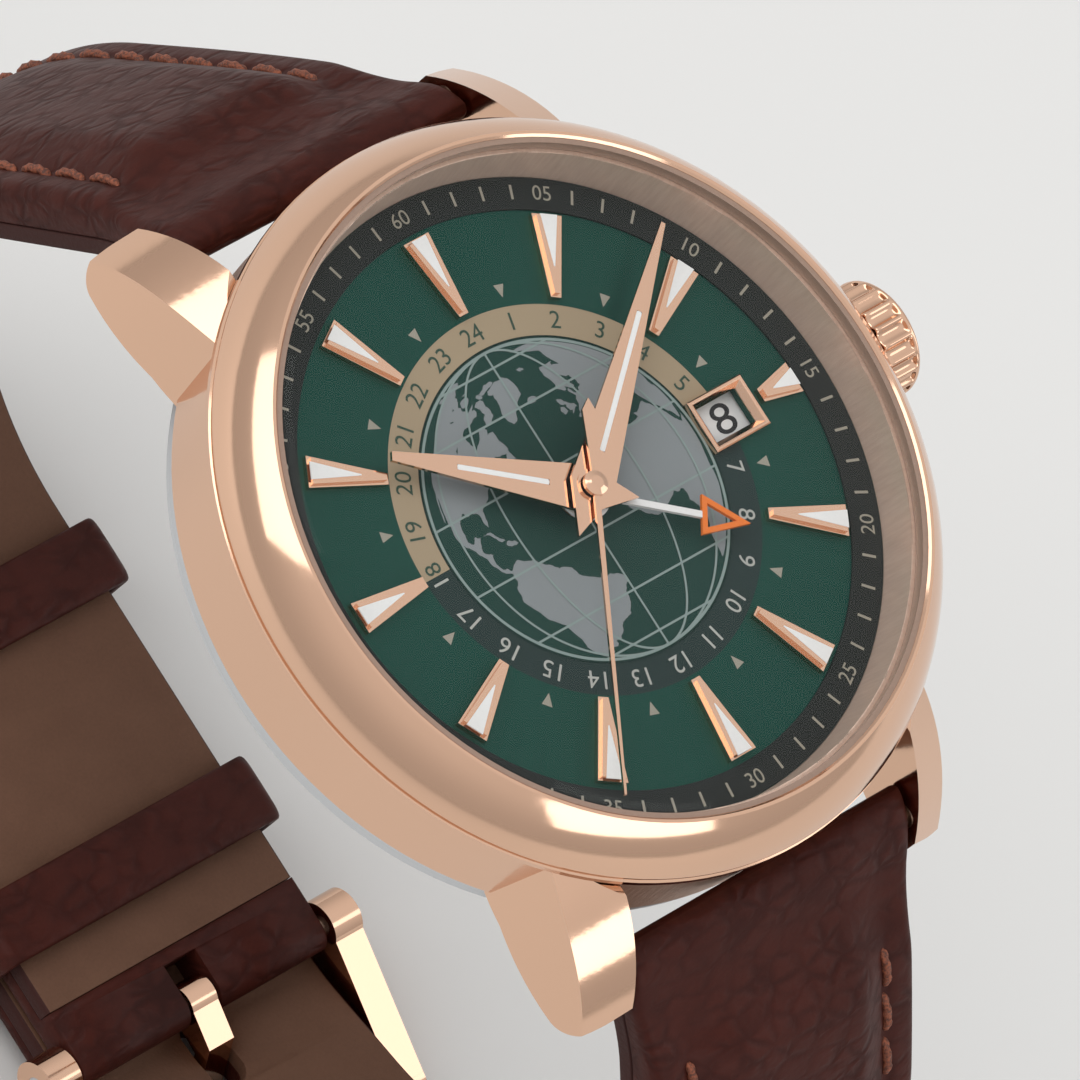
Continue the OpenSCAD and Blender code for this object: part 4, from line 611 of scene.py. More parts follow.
# Rough coasts as longitude and latitude in degrees
coasts = {
    "northAmerica": """-168 66 -162 70 -156 71 -141 70 -128 70 -115 68 -108 68 -95 68 -94 72 -90 69 -85
    69 -82 67 -87 64 -94 61 -94 58.5 -88 56.5 -82 55 -80 51.5 -79 54.5 -77 57 -78 62 -73 62.3 -70 61
    -69.5 58.8 -65 60 -62 57 -57 53 -56 51.5 -60 50 -66 50 -70 47 -65 48.5 -64.5 46 -61 45.3 -66
    43.5 -67 45 -70 43.5 -70.5 41.8 -74 40.5 -75.5 38 -76 35.5 -79 33.5 -81.3 31 -80 27 -80.3 25.2
    -81.8 26 -82.8 28.5 -84.5 30 -89.5 30 -90 29 -94 29.6 -97.3 27.5 -97.5 23 -95.8 18.8 -92 18.5
    -90.5 21 -87 21.4 -88.3 17.5 -88.5 15.8 -83.3 15 -83.7 11 -81.5 8.9 -79.5 9.5 -77.3 8.5 -77.8
    7.3 -80 7.4 -82.8 8 -85.5 10 -87.5 13 -92 14.5 -95 16 -99.5 16.7 -105 19.8 -105.6 22.5 -109 26
    -112.5 30 -114.8 31.8 -113 28 -109.7 23 -112 25 -115 29 -117 32.5 -120.6 34.5 -124 40 -124 46.5
    -127 50.5 -131 55 -137 58.5 -146 60.5 -152 59.5 -158 56.5 -164 54.7 -158 58.5 -165 61 -166 64
    -161 64.5""",
    "southAmerica": """-77.3 8.5 -75 11 -71.7 12.3 -68 11.5 -64 10.4 -60 8.5 -57 6 -52 5 -50 0.5 -44.5
    -2.5 -40 -2.8 -35.5 -5.5 -35 -8.5 -38.5 -13 -39.2 -18 -41.5 -22.5 -45.5 -24 -48.5 -26.5 -49.5
    -29.5 -53.5 -34 -57 -35 -57 -37 -58.5 -38.8 -62 -39.2 -65 -41 -64 -43 -67.5 -46 -66 -48 -69 -51
    -68.5 -53 -67 -55 -71 -54.5 -74.5 -51 -75.5 -47 -73 -42 -73.5 -38 -71.5 -32 -70.3 -25 -70.3
    -18.5 -76 -14 -79 -8 -81.2 -5 -80 -2.5 -80 1 -77.5 4 -77.8 7.3""",
    "greenland": """-73 78.2 -66 80.5 -60 82 -45 82.5 -30 83.5 -18 81 -18 77 -20 73.5 -23 70 -32 68 -38
    65.5 -42 60.5 -45 60 -49 62 -53 66 -53 69.5 -55 72.5 -60 76 -69 76""",
    "africa": """-6 35.8 -1 35.5 5 36.8 10 37.3 11 33.8 15.5 32 20 31 20 33 25 31.8 32 31.2 34.2 27.5 37
    21 39 16 43 11.8 51 11.8 47.5 4 41 -2 39.3 -6 40.5 -11 40.5 -15 35 -20 35.5 -24 32.8 -26.5 31
    -30 26 -34 20 -34.8 18.2 -32.5 15 -27 12 -17.5 13.8 -11 12 -5.5 9 -1 9.8 3.5 8.5 4.6 5.5 5 4.3
    6.4 -2 4.8 -7.5 4.4 -11 6.8 -13.3 9 -16.8 12.4 -17.5 14.7 -16.3 19 -17 21 -14.5 26 -10 30 -9.5
    32.5""",
    "europeAndAsia": """-9 37 -9.5 38.8 -8.8 43.2 -1.8 43.4 -1.2 46 -4.7 48.4 -1.5 48.7 1.6 50.6 4 52 8
    53.8 8.2 57 10.6 57.6 10 54.6 14 54 19 54.5 21 56 23.5 59 29 60 22 60.3 21.5 63 25 65 21 64.5
    17.5 61 18.5 59.8 16.5 57 14 55.5 12.5 56.5 10.8 59.3 7 58 5 61 11 64.5 15 68.5 25 71 31 70 41
    67 34 66.8 38 64 44 66.5 54 68.5 68 69 73 73 85 74 100 77 100 40 90 22 85 20 80 13 77 8 73 18 67
    25 57 26 56 24.5 59.5 22.5 55 17 45 13 42.8 16 39 21 35 28 34.5 31.5 36 36 30 36.5 27 37 26.5 40
    30 41.2 36 41.5 41.5 41.7 38 45 34 45 31 46.5 28.5 43.5 28.5 41.3 24 40.5 23.8 38 22.5 36.6 21
    38.5 19.5 41.5 15 44.5 13 45.6 12.5 44 16 41.8 18.4 40.2 16.5 39.5 16 38 15.6 40 12.5 41.8 10.3
    43.5 7 43.6 3.2 43.2 3 41.8 0 40 -0.5 38.2 -2.2 36.8 -5.5 36""",
    "britain": """-5.7 50.1 1.3 51.2 1.6 52.8 -0.2 53.5 -2 56 -2 57.6 -5 58.6 -6 56.5 -3.2 54.7 -4.6
    53.2 -4.8 51.8 -3 51.4""",
    "ireland": "-10 52 -6.3 52.2 -5.7 54.5 -8 55.3 -9.9 54",
    "iceland": "-24 65.5 -22 66.4 -16 66.4 -13.6 65 -18 63.4 -22.5 63.9",
    "cuba": "-84.9 21.9 -82 23.1 -79 22.7 -75 20.7 -74.2 20.1 -77.5 19.9 -78.5 21 -82 22.3",
    "hispaniola": "-74.3 18.4 -73 19.8 -69.8 19.7 -68.4 18.5 -71.5 17.7",
    "baffin": """-80 73.7 -75 72.5 -68 70 -62 66.5 -64.5 63.5 -70 63 -73 65 -72 67.5 -79 69.8 -88 70.5
    -89 73""",
    "ellesmere": "-90 76.5 -80 76.3 -76 78.5 -66 81 -62 82.6 -80 83 -92 81.5 -86 79.5",
    "victoria": "-117 70 -105 69 -101 70 -105 73 -115 73.3 -118 71.5",
    "banks": "-125 72 -117 73.5 -123 74.4",
    "devon": "-96 76 -80 75.6 -80 74.6 -91 74.7",
    "newfoundland": "-59.3 47.7 -57 51.3 -55.5 50 -53 47.5 -55.8 46.9",
    "madagascar": "44 -20 44 -24.5 47 -25 50.3 -15.5 49 -12.2 44.5 -16.3",
    "svalbard": "12 78 20 77 25 79.5 16 80",
    "sicily": "12.5 37.8 15.5 38.2 15 36.8",
    "sardinia": "8.3 39 9.7 39.2 9.6 42.8 8.6 42",
}
lakes = {
    "superior": "-92 46.8 -89 48.5 -85 47.8 -84.5 46.5 -88 46.8",
    "michigan": "-87.8 42 -86.3 42 -85.5 45.5 -87.5 45.5",
    "huron": "-84 45.9 -81 45.9 -79.9 44.6 -81.7 43.2 -83.5 43.9",
    "erieOntario": "-83.3 41.6 -80 42.9 -76.3 44.1 -76.5 43.4 -79 42.7 -81 41.6",
    "greatBear": "-123 66 -119 66.5 -121 65",
    "greatSlave": "-116 61 -110 62.5 -114 61",
    "winnipeg": "-98.5 52 -96.5 51 -97.5 53.8",
    "caspian": "47 43 51 45 53 41 51 37 49 38 49.5 41",
}


# Adds points between a coast's corners and pushes them sideways by a seeded random amount
def roughCoast(words, seed, amount):
    corners = np.array(words.split(), float).reshape(-1, 2)
    random = np.random.default_rng(seed)
    for size in (amount, amount * 0.5, amount * 0.25):
        step = np.roll(corners, -1, 0) - corners
        length = np.linalg.norm(step, axis=1)
        push = random.uniform(-1, 1, len(corners)) * np.minimum(length * 0.16, size)
        side = np.column_stack([-step[:, 1], step[:, 0]]) / np.maximum(length, 1e-9)[:, None]
        middle = corners + step / 2 + side * push[:, None]
        corners = np.stack([corners, middle], 1).reshape(-1, 2)
    return corners


# Straight-on view of a sphere turned so that the globe's centre faces out; far points go to its edge
def onGlobe(degrees, radius):
    turn, tilt = np.radians(globe.centre)
    lon, lat = np.radians(degrees[:, 0]) - turn, np.radians(degrees[:, 1])
    across = np.cos(lat) * np.sin(lon)
    up = math.cos(tilt) * np.sin(lat) - math.sin(tilt) * np.cos(lat) * np.cos(lon)
    near = math.sin(tilt) * np.sin(lat) + math.cos(tilt) * np.cos(lat) * np.cos(lon)
    flat = np.column_stack([across, up])
    far = near < 0
    flat[far] /= np.linalg.norm(flat[far], axis=1)[:, None]
    return flat * radius


# Triangles inside a closed outline, all turned to face up
def filled(outline, z):
    n = len(outline)
    cut = delaunay_2d_cdt([Vector(p) for p in outline], [(i, (i + 1) % n) for i in range(n)], [], 1, 1e-5)
    points, faces = np.array([p[:] for p in cut[0]]), np.array(cut[2])
    u, v = points[faces[:, 1]] - points[faces[:, 0]], points[faces[:, 2]] - points[faces[:, 0]]
    down = u[:, 0] * v[:, 1] - u[:, 1] * v[:, 0] <= 0
    faces[down] = faces[down][:, [0, 2, 1]]
    return atHeight(points, z), faces.tolist()


# Map: filled coasts and lakes under a net of straight parallels and meridians that are half ellipses,
# x = r cos(latitude) sin(longitude), y = r sin(latitude)
def printGlobe():
    g = globe
    z = levels.dial + dialPrint.lift
    land = [filled(onGlobe(roughCoast(words, i, g.coastRough), g.land), z)
            for i, words in enumerate(coasts.values())]
    addPiece("mapLand", *joined(land), "land", "case")
    water = [filled(onGlobe(roughCoast(words, 50 + i, g.lakeRough), g.land), z + g.lakeLift)
             for i, words in enumerate(lakes.values())]
    addPiece("mapLakes", *joined(water), "seaInk", "case")
    r = g.radius
    around = np.radians(np.arange(0, 360, 3.0))
    rim = np.column_stack([np.cos(around), np.sin(around)]) * r
    lines = [ribbon(rim, g.lineWidth * g.rimWidth, z + g.lineLift, True)]
    net = []
    for lat in np.radians(g.parallels):
        reach, up = math.cos(lat) * r, math.sin(lat) * r
        net.append([(-reach, up), (0, up), (reach, up)])
    rows = np.radians(np.linspace(-89, 89, 60))
    for lon in np.radians(g.meridians):
        net.append(np.column_stack([np.cos(rows) * math.sin(lon), np.sin(rows)]) * r)
    for line in net:
        lines.append(ribbon(line, g.lineWidth, z + g.lineLift + g.lineStep * len(lines)))
    addPiece("mapNet", *joined(lines), "net", "case")


markerLume = Values(
    base=15.5, width=0.98, tip=12.6, shortTip=13.9, tipHalf=0.03,
    top=0.6, proud=0.015, deep=0.05,
)


# Lume of the hour markers: a wedge from a wide base to a narrow tip, shorter by the date
def fillMarkers():
    m = markerLume
    z = levels.dial + m.top
    base, half, tipHalf = m.base, m.width / 2, m.tipHalf
    shapes = []
    for hour in range(12):
        tip = m.shortTip if hour == 3 else m.tip
        wedge = onRay(30 * hour, [(base, -half), (tip, -tipHalf), (tip, tipHalf), (base, half)])
        shapes.append(raised(wedge, z - m.deep, z + m.proud))
    addPiece("markerLume", *joined(shapes), "lume", "case")


handLume = Values(
    half=0.15, end=0.6, bottom=0.1, top=0.205,
    # Body, angle past 12 o'clock, height of the hand above the dial, and the strip's two ends
    strips={
        "hourHandLume": ("hours", 304.3, 1.2, 2.25, 7.5),
        "minuteHandLume": ("minutes", 51.6, 1.65, 2.1, 10.7),
    },
)


# Lume strips with round ends, laid in the slots of the hands
def fillHands():
    half, end = handLume.half, handLume.end
    for name, (body, angle, above, low, high) in handLume.strips.items():
        out, along = clockAxes(angle)
        bend = np.radians(np.linspace(0, 180, 9))
        side, ahead = np.cos(bend) * half, np.sin(bend) * half * end
        across = np.concatenate([side, -side])
        length = np.concatenate([high - half * end + ahead, low + half * end - ahead])
        outline = np.outer(length, out) + np.outer(across, along)
        z = levels.dial + above
        addPiece(name, *raised(outline, z + handLume.bottom, z + handLume.top), "lume", body)


dateFrame = Values(
    middle=10.75, width=3.86, height=3.0, tall=0.5,
    rim=0.5, flat=0.17, edge=0.07, foot=0.12,
)


# Mitred frame: a rectangle shrunk inwards by a distance d at a height z, for each corner of its section
def frameWindow():
    f = dateFrame
    section = [(0.0, 0.0), (0.0, f.tall - f.edge), (f.edge, f.tall), (f.flat, f.tall),
               (f.flat + f.edge, f.tall - 0.5 * f.edge), (f.rim, f.foot), (f.rim, 0.0)]
    d, z = (np.array(v)[:, None] for v in zip(*section))
    sx, sy = np.array([1, -1, -1, 1]), np.array([1, 1, -1, -1])
    rings = np.stack([f.middle + sx * (f.width / 2 - d), sy * (f.height / 2 - d),
                      np.broadcast_to(levels.dial + z, (len(section), 4))], -1)
    frameRound = addPiece("windowFrame", *skinOver(rings, loop=True), "rose", "case")
    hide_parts("date_frame")


dateNumbers = Values(
    radius=10.62, height=1.7, wide=1.28, widest=2.45, spacing=0.84, today=18, below=0.6,
)


# The month's days round the disc, with today's behind the window
def printDates():
    d = dateNumbers
    z = levels.dial - d.below + dialPrint.lift
    shapes = []
    for day in range(1, 32):
        flat, faces = glyph(str(day), d.spacing)
        a = math.radians((day - d.today) * 360 / 31)
        spin = np.array([[math.cos(a), math.sin(a)], [-math.sin(a), math.cos(a)]])
        wide = min(d.wide, d.widest / (np.ptp(flat[:, 0]) * d.height))
        placed = np.column_stack([flat[:, 0] * d.height * wide + d.radius, flat[:, 1] * d.height])
        shapes.append((atHeight(placed @ spin, z), faces))
    addPiece("dateNumbers", *joined(shapes), "ink", "date_ring")


printMinutes()
printHours()
printGlobe()
fillMarkers()
fillHands()
frameWindow()
printDates()
print("the dial is printed")


# The strap's shared sizes; distances along it start at its spring bar
strap = Values(
    start=21.9, width=20.1, neck=1.4, neckLength=6.0, endWidth=18.0, taper=55.0,
    padTop=3.2, endTop=1.45, riseFrom=1.5, padFrom=7.0, padTo=36.0, endRound=2.0,
    lining=1.0, wrap=1.9,
    lip=0.45,  # the edge's share of the padding's height
    corner=0.75, domeFrom=0.3, domeOver=3.4,
    stitchIn=2.3, groove=0.3, grooveWidth=0.42, sewnFrom=5.0, sewnOver=1.5,
    fold=0.22, foldAt=4.2, foldWidth=0.9, foldEdge=3.0,
    ringStep=0.3,
)
shortStrap = Values(
    side=1, leave=59.0, low=1.2, tip=0.0, turnedOver=3.0, stitchEnd=2.2,
    runs=[(0, 22.0), (22.0, 19.0), (0, 1.5), (18.0, 102.0), (0, 23.5976)],
)
longStrap = Values(
    side=-1, leave=47.0, low=1.1, tip=9.0, tipNarrow=0.85, turnedOver=0.0, stitchEnd=3.4,
    runs=[(0, 13.7), (16.0, 68.0), (0, 13.2596), (18.0, 51.0), (0, 5.0), (15.0, 14.0), (0, 26.5972),
             (20.4, 66.0)],
)


# Length of a run: a straight one has radius 0, a bend is given by its angle
def runLength(run):
    radius, amount = run
    return amount if radius == 0 else radius * math.radians(amount)


def strapLength(info):
    return sum(runLength(run) for run in info.runs)


# Place across Y, height and heading at distances along a strap.
# On a run of radius r from heading h: y += r(sin h - sin(h - t/r)), z += r(cos(h - t/r) - cos h)
def alongStrap(info, s):
    s = np.asarray(s, float)
    y, z, h, gone = strap.start, levels.bars, -math.radians(info.leave), 0.0
    found = y + s * math.cos(h), z + s * math.sin(h), np.full(s.shape, h)
    for run in info.runs:
        radius, length = run[0], runLength(run)
        t = np.append(np.clip(s - gone, 0, None), length)
        if radius == 0:
            reached = y + t * math.cos(h), z + t * math.sin(h), np.full(t.shape, h)
        else:
            turned, beyond = h - np.minimum(t, length) / radius, np.clip(t - length, 0, None)
            reached = (y + radius * (math.sin(h) - np.sin(turned)) + beyond * np.cos(turned),
                       z + radius * (np.cos(turned) - math.cos(h)) + beyond * np.sin(turned), turned)
        found = [np.where(s >= gone, new[:-1].reshape(s.shape), old) for new, old in zip(reached, found)]
        y, z, h = (v[-1] for v in reached)
        gone += length
    return found


# Smooth step from 0 to 1: c squared times (3 - 2c)
def eased(x):
    c = np.clip(x, 0, 1)
    return c * c * (3 - 2 * c)


# Half width at a distance, narrowing to a point on the long strap
def halfWidth(info, s):
    s = np.asarray(s, float)
    necked = strap.width - strap.neck
    half = (strap.width - strap.neck * eased(s / strap.neckLength)
            - (necked - strap.endWidth) * eased(s / strap.taper)) / 2
    if info.tip:
        far = strapLength(info)
        pointed = np.clip((s - far + info.tip) / info.tip, 0, 1) ** 2
        half = half - strap.endWidth / 2 * info.tipNarrow * pointed
    return half


# Height of the padding's top above the middle line
def padHeight(info, s):
    k = strap
    s = np.asarray(s, float)
    up = eased((s - k.riseFrom) / (k.padFrom - k.riseFrom))
    down = eased((s - k.padFrom) / (k.padTo - k.padFrom))
    rising = k.endTop + (k.padTop - k.endTop) * up
    falling = k.padTop + (info.low - k.padTop) * down
    return np.where(s < k.padFrom, rising, falling)


# Height of the outer face at a distance s and a distance d in from the edge:
# a rounded lip, a groove at the stitches, then the dome of the padding, with one soft fold by the bar
def topHeight(info, s, d):
    k = strap
    top = padHeight(info, s)
    full = np.clip((top - info.low) / (k.padTop - info.low), 0, 1)
    lip = info.low + (top - info.low) * k.lip
    dome = (top - lip) * eased((d - k.stitchIn + k.domeFrom) / k.domeOver)
    sewn = eased((s - k.sewnFrom) / k.sewnOver)
    puff = 0.8 + 0.2 * np.cos(2 * np.pi * s / stitching.pitch)
    near = np.exp(-((d - k.stitchIn) / k.grooveWidth) ** 2)
    groove = k.groove * (0.35 + 0.65 * full) * sewn * puff * near
    fold = k.fold * np.exp(-((s - k.foldAt) / k.foldWidth) ** 2) * eased(d / k.foldEdge)
    drop = k.corner * (1 - np.sqrt(np.clip(1 - (1 - np.clip(d / k.corner, 0, 1)) ** 2, 0, 1)))
    return lip + dome - groove - fold - drop


# Puts a flat ring (across, above the middle line) on the strap's route
def onRoute(info, s, across, above):
    y, z, h = (v.reshape(-1, *[1] * (np.ndim(above) - 1)) for v in alongStrap(info, s))
    return np.stack([across, info.side * (y - np.sin(h) * above), z + np.cos(h) * above], -1)


# Skin of a strap's layer from half of each ring's section, mirrored across the middle
def mirrored(info, s, across, up):
    across = np.concatenate([across, -across[:, ::-1]], 1)
    up = np.concatenate([up, up[:, ::-1]], 1)
    return skinOver(onRoute(info, s, across, up), info.side > 0)


# Top leather: rings of the outer face from edge to edge, then the side and the under face
def topLeather(info):
    low, far = info.low, strapLength(info)
    fold = info.turnedOver
    start = np.array([-1.96, -1.85, -1.6, -1.2, -0.6])
    run = np.arange(0, far - 0.02, strap.ringStep)
    step = np.array([strap.wrap, strap.wrap + 0.05])
    run = np.sort(np.concatenate([run[np.abs(run - strap.wrap) > 0.1], step]))
    if fold:
        bend = np.radians([15, 30, 45, 60, 72, 82])
        end = np.concatenate([[far - 0.01, far + 0.04], np.arange(far + 0.5, far + fold, 0.5), [far + fold],
                              far + fold + low * np.sin(bend)])
    else:
        end = far - 0.3 + 0.3 * np.sin(np.radians([0, 30, 60, 85]))
    s = np.concatenate([start, run[run < end[0] - 0.05], end])
    squeeze = np.sqrt(np.clip(1 - (np.minimum(s, 0) / strap.endRound) ** 2, 0, 1))
    if fold:
        squeeze *= np.sqrt(np.clip(1 - (np.clip(s - far - fold, 0, None) / low) ** 2, 0, 1))
    else:
        squeeze *= 1 - 0.35 * np.clip((s - far + 0.3) / 0.3, 0, 1) ** 2
    half = halfWidth(info, s)
    inward = np.concatenate([[0, 0.04, 0.16, 0.34, 0.6, 0.95, 1.35, 1.7, 1.95, 2.15, 2.3, 2.45, 2.65, 2.95],
                             np.linspace(3.4, 10.4, 17)])
    d = inward * np.minimum(1, half / 10.8)[:, None]
    across = half[:, None] - d
    up = topHeight(info, s[:, None], d)
    whole = (s <= strap.wrap + 0.001) | (s > far + 0.001)
    floor = np.where(whole, -low, -low + strap.lining)
    side = floor[:, None] + np.array([0.0, 0.12])
    across = np.concatenate([half[:, None] - np.array([[0.12, 0.0]]), across], 1)
    up = np.concatenate([side, up], 1)
    return mirrored(info, s, across, up * squeeze[:, None])


# Lining: a flat layer with rounded edges under the leather
def liningLayer(info):
    low, far = info.low, strapLength(info)
    s = np.concatenate([[strap.wrap + 0.06], np.arange(strap.wrap + 0.5, far, 0.8), [far - 0.02]])
    half = halfWidth(info, s)
    outline = np.array([[0.3, -1], [0.1, -0.94], [0.02, -0.8], [0, -0.5], [0, -0.1], [0.0, -0.02]])
    across = half[:, None] - outline[:, 0]
    up = np.full(across.shape, -low) + (1 + outline[:, 1]) * (strap.lining - 0.01)
    return mirrored(info, s, across, up)


stitching = Values(
    pitch=2.75, length=2.5, thick=0.25, first=6.9, slant=0.13,
    rise=0.2, sink=0.26, bed=0.06, plies=2, lobes=0.2, twist=9,
)


# Rows of stitches: each is a thread whose middle rises from the groove and dives back with the 8th
# power of the way along it, and whose radius swells as cos(plies b + twist a) to show twisted plies
def stitchRows(info):
    t = stitching
    middles = np.arange(t.first, strapLength(info) - info.stitchEnd, t.pitch)
    a = np.sin(np.linspace(-1, 1, 13) * math.pi / 2)
    b = np.radians(np.arange(0, 360, 36))
    s = middles[:, None] + a * t.length / 2
    thick = t.thick * np.sqrt(np.clip(1.04 - a ** 6, 0.05, 1))
    lift = t.rise - t.sink * a ** 8
    shapes = []
    for side in (-1, 1):
        half = halfWidth(info, s)
        across = (half - strap.stitchIn) * side + a * t.slant
        ground = topHeight(info, s, np.full(s.shape, strap.stitchIn)) + lift - t.bed
        ply = 1 + t.lobes * np.cos(t.plies * b + t.twist * a[:, None])
        r = thick[:, None] * ply
        x = across[:, :, None] + r * np.cos(b)
        up = ground[:, :, None] + r * np.sin(b)
        rings = onRoute(info, s.ravel(), x.reshape(-1, len(b)), up.reshape(-1, len(b)))
        rings = rings.reshape(len(middles), len(a), len(b), 3)
        shapes += [skinOver(rings[k], info.side > 0) for k in range(len(middles))]
    return joined(shapes)


# Cuts round holes or slots, given as closed shapes, out of a piece
def cutOut(piece, shapes):
    points, faces = joined(shapes)
    mesh = bpy.data.meshes.new("cutter")
    mesh.from_pydata((points * mm).tolist(), [], faces)
    tool = newObject("cutter", mesh)
    cut = piece.modifiers.new("cut", "BOOLEAN")
    cut.operation = "DIFFERENCE"
    cut.solver = "EXACT"
    cut.object = tool
    shaped = bpy.data.meshes.new_from_object(piece.evaluated_get(bpy.context.evaluated_depsgraph_get()))
    piece.modifiers.clear()
    piece.data = shaped
    bpy.data.objects.remove(tool)


strapHoles = Values(
    shortOfTurn=3.2, pitch=7.0, before=1, after=4, radius=1.15, worn=1.15, reach=2.4,
)
buckleSlot = Values(half=1.15, back=-10.0, front=-5.8, reach=3)


# Round pegs square to the long strap, the one in use drawn out into a slot
def holePegs():
    h = strapHoles
    pegs = []
    turn = np.radians(np.arange(0, 360, 15))
    level = sum(runLength(run) for run in longStrap.runs[:-2])
    for k in range(-h.before, h.after + 1):
        y, z, heading = (float(v) for v in alongStrap(longStrap, level - h.shortOfTurn + k * h.pitch))
        ahead = np.sin(turn) * h.radius + (np.sign(np.round(np.sin(turn), 6)) * h.worn if k == 0 else 0)
        rings = []
        for depth in (-h.reach, h.reach):
            rings.append(np.column_stack([
                np.cos(turn) * h.radius,
                -(y + ahead * math.cos(heading) - depth * math.sin(heading)),
                z + ahead * math.sin(heading) + depth * math.cos(heading)]))
        pegs.append(skinOver(np.array(rings), True))
    return pegs


# Slot in the folded end of the short strap, round the eye of the tongue
def tongueSlot():
    k = buckleSlot
    outline = [(-k.half, k.back), (k.half, k.back), (k.half, k.front), (-k.half, k.front)]
    return [raised(outline, levels.shortStrap - k.reach, levels.shortStrap + k.reach)]


calf = Values(
    # the crease colour is painted shade laid into the creases between the pebbles
    dark=(0.034, 0.0070, 0.0048), light=(0.080, 0.0178, 0.0120), crease=(0.016, 0.0040, 0.0033),
    drawnOut=0.6, bent=0.7, pebbles=0.95, smallPebbles=2.2,
    poreDepth=0.008, smallDepth=0.012, pebbleDepth=0.065,
)


# Soft grained calf: rounded pebbles drawn out across the strap, small ones between, and slow swells, with
# painted shade darkening the creases between the pebbles
def pebbledLeather(flow):
    c = calf
    place = placeInMm(flow)
    swell = noise(place, 0.3, 2.0)
    bent = flow.add("ShaderNodeVectorMath", {"operation": "MULTIPLY_ADD"}, {
        0: flow.add("ShaderNodeTexNoise", {}, {"Vector": place, "Scale": 0.55, "Detail": 3.0}, out=1),
        1: (c.bent,) * 3, 2: place})
    drawn = flow.add("ShaderNodeMapping", {}, {"Vector": bent, "Scale": (c.drawnOut, 1.0, 1.0)})
    fade = rise(noise(drawn, 0.6, 2.0), 0.35, 0.65) * 0.75 + 0.25
    crease = (1 - rise(cells(drawn, c.pebbles, "DISTANCE_TO_EDGE"), 0.0, 0.3)) * fade
    small = rise(cells(drawn, c.smallPebbles, "DISTANCE_TO_EDGE"), 0.0, 0.35)
    pores = noise(place, 5.0, 3.0, 0.6)
    base = over(c.dark, c.light, swell * 0.6 + pores * 0.4)
    relief = bump(small, c.smallDepth, 0.5, bump(swell * 1.8 - crease, c.pebbleDepth, 0.8))
    return {
        # painted shade: the creases between the pebbles are mixed towards a darker colour
        "Base Color": over(base, c.crease, crease * 0.45),
        "Roughness": 0.42 + crease * 0.08 + pores * 0.08,
        "Specular IOR Level": 0.12,
        "Normal": bump(pores, c.poreDepth, 0.5, relief),
    }


liningShades = Values(
    dark=(0.105, 0.050, 0.030), light=(0.185, 0.095, 0.060),
    edge=(0.040, 0.010, 0.0075), edgeFrom=8.83,
)


# Smooth lining leather, with the strap's cut edges painted dark
def liningLeather(flow):
    place = placeInMm(flow)
    nap = noise(place, 5.0, 4.0, 0.6)
    mottle = noise(place, 0.35, 3.0)
    face = over(liningShades.dark, liningShades.light, nap * 0.5 + mottle * 0.5)
    edge = flow.maths("ABSOLUTE", parts(place)[0]) > liningShades.edgeFrom
    return {
        "Base Color": over(face, liningShades.edge, edge),
        "Roughness": 0.66 - edge * 0.16 + nap * 0.14,
        "Specular IOR Level": 0.2,
        "Normal": bump(nap, 0.04),
    }


def waxedThread(flow):
    place = placeInMm(flow)
    fibre = rise(noise(place, 6.0, 3.0, 0.6), 0.3, 0.7)
    return {
        "Base Color": over((0.07, 0.018, 0.009), (0.33, 0.092, 0.042), fibre),
        "Roughness": 0.55 + fibre * 0.15,
        "Normal": bump(fibre, 0.03),
    }


keeperShape = Values(
    halfWide=10.25, height=7.0, wall=1.0, width=4.0, corner=1.1, square=0.4,
    fixedAt=0.0, looseAt=15.1976,
)


# Keeper: a flat band's section, superellipse |a|^5 + |b|^5 = 1, swept round a rounded rectangle
def keeperLoop(middle):
    k = keeperShape
    quarter = np.radians(np.linspace(0, 90, 9))
    right, up = k.halfWide - k.corner, k.height - k.corner
    centres = [(right, up), (-right, up), (-right, k.corner), (right, k.corner)]
    path, out = [], []
    for i, (x, z) in enumerate(centres):
        a = quarter + i * math.pi / 2
        out.append(np.column_stack([np.cos(a), np.sin(a)]))
        path.append(np.array([x, z]) + out[-1] * k.corner)
    path, out = np.concatenate(path), np.concatenate(out)
    section = np.radians(np.arange(0, 360, 15.0))
    c, s = np.cos(section), np.sin(section)
    depth = -(1 - np.sign(c) * np.abs(c) ** k.square) * k.wall / 2
    along = np.sign(s) * np.abs(s) ** k.square * k.width / 2
    flat = path[:, None, :] + out[:, None, :] * depth[:, None]
    rings = np.stack([flat[:, :, 0], np.broadcast_to(middle + along, flat.shape[:2]), flat[:, :, 1]], -1)
    return skinOver(rings, loop=True)


finishes["leather"] = material("pebbledLeather", pebbledLeather)
finishes["lining"] = material("liningLeather", liningLeather)
finishes["thread"] = material("waxedThread", waxedThread)


# One strap: its leather, lining and stitches, the first two in place of the frame's own
def makeStrap(name, info, node):
    leather = addPiece(name + "Leather", *topLeather(info), "leather", "case", True)
    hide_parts(node + "_leather")
    lining = addPiece(name + "Lining", *liningLayer(info), "lining", "case", True)
    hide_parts(node + "_lining")
    addPiece(name + "Stitches", *stitchRows(info), "thread", "case", True)
    return leather, lining


shortLeather, shortLining = makeStrap("shortStrap", shortStrap, "strap_12")
longLeather, longLining = makeStrap("longStrap", longStrap, "strap_6")
cutOut(shortLeather, tongueSlot())
for piece in (longLeather, longLining):
    cutOut(piece, holePegs())
print("the straps are laid, cut and stitched")

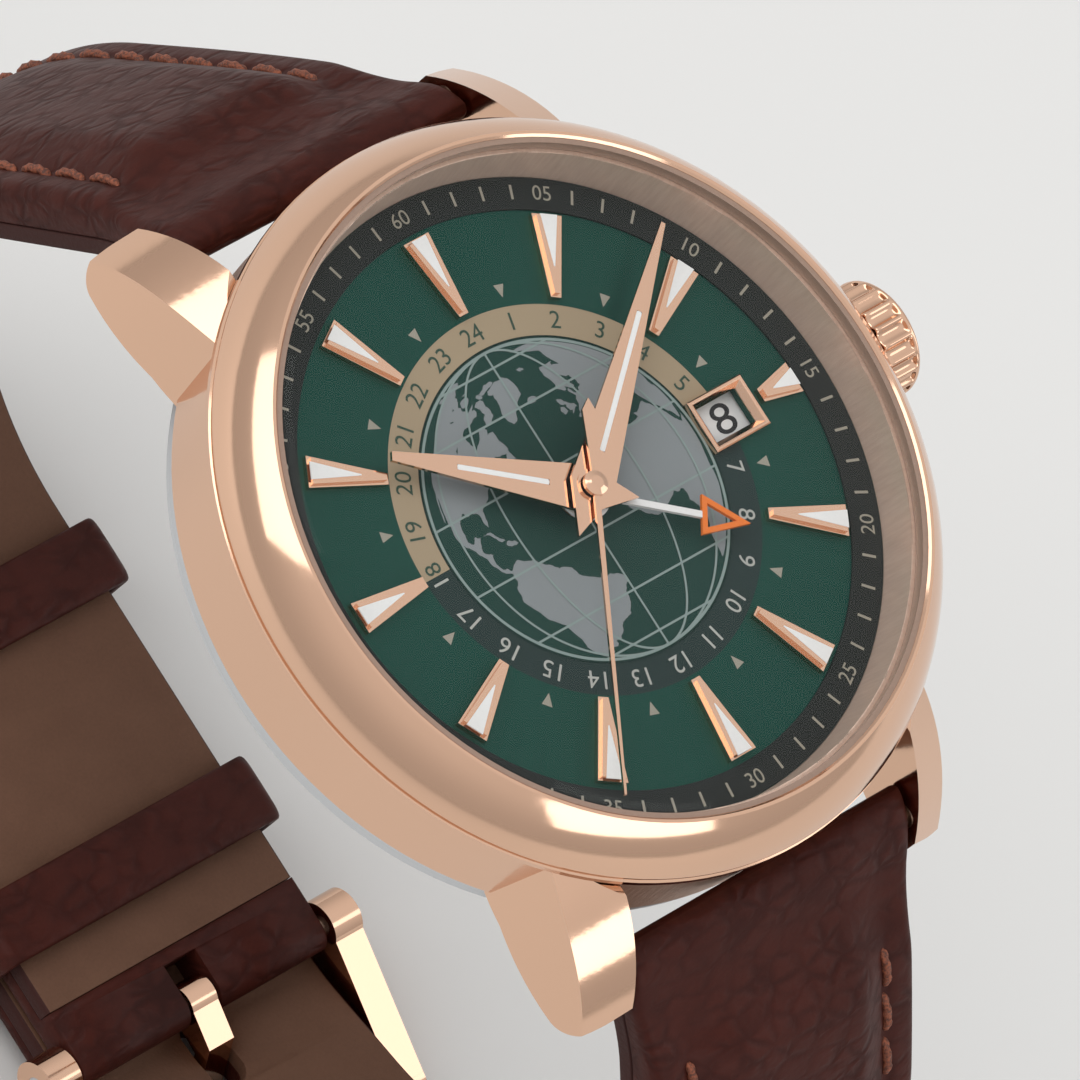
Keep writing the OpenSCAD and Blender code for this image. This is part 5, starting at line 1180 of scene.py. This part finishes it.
for name, middle, node, body in (("fixedKeeper", keeperShape.fixedAt, "fixed_keeper", "case"),
                                 ("looseKeeper", keeperShape.looseAt, "sliding_keeper", "loose_keeper")):
    keeper = addPiece(name, *keeperLoop(middle), "leather", body, True)
    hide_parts(node)
print("the keepers are on")


crownShape = Values(
    start=21.35, length=2.25, dome=0.48, radius=3.27,
    ridges=20, depth=0.28, narrow=2.0, bevel=0.12, fadeFrom=0.5, round=0.24,
    # The well for the stem, the tube and its seal, from the stem's end outwards: depth, radius
    well=[(2.42, 0.47), (1.67, 0.47), (1.65, 0.49), (1.65, 1.34), (1.63, 1.36), (1.0, 1.36), (1.0, 1.7),
             (0.5, 1.7), (0.5, 1.36), (0.02, 1.36), (0.0, 1.38)],
)


# Fluted crown: rings round the stem's axis, whose radius dips by a raised cosine between its ridges
def flutedCrown():
    c = crownShape
    rim, far, bevel, fade, bend = c.radius, c.length, c.bevel, c.fadeFrom, c.round
    # Each row: distance out from the start, radius, and how much of the flutes' depth it has
    rows = [(x, r, 0.0) for x, r in c.well]
    rows += [(0.0, rim - 0.62, 0.9), (0.0, rim - bevel, 1.0), (bevel / 3, rim - bevel / 3, 1.0)]
    rows += [(bevel, rim, 1.0)] + [(x, rim, 1.0) for x in np.linspace(0.4, far - fade, 5)]
    rows += [(far - fade + bend * k / 6, rim - 0.02 * k / 6, 1 - eased(k / 6)) for k in range(1, 7)]
    rows += [(far - bend + bend * math.sin(t), rim - 0.27 + 0.25 * math.cos(t), 0.0)
             for t in np.linspace(0.1, 1.5, 9)]
    rows += [(far + c.dome * (1 - (r / rim) ** 2), r, 0.0) for r in (2.6, 2.1, 1.6, 1.1, 0.6, 0.3)]
    turn = np.linspace(0, 2 * np.pi, c.ridges * 12, endpoint=False)
    dip = c.depth * (1 - (0.5 + 0.5 * np.cos(c.ridges * turn)) ** c.narrow)
    x, r, w = (np.array([float(v) for v in column])[:, None] for column in zip(*rows))
    r = r - w * dip
    out = np.broadcast_to(c.start + x, r.shape)
    rings = np.stack([out, r * np.cos(turn), levels.stem + r * np.sin(turn)], -1)
    crown = addPiece("flutedCrown", *skinOver(rings), "rose", "crown_and_stem", True)
    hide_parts("crown")


flutedCrown()
print("the crown is on")
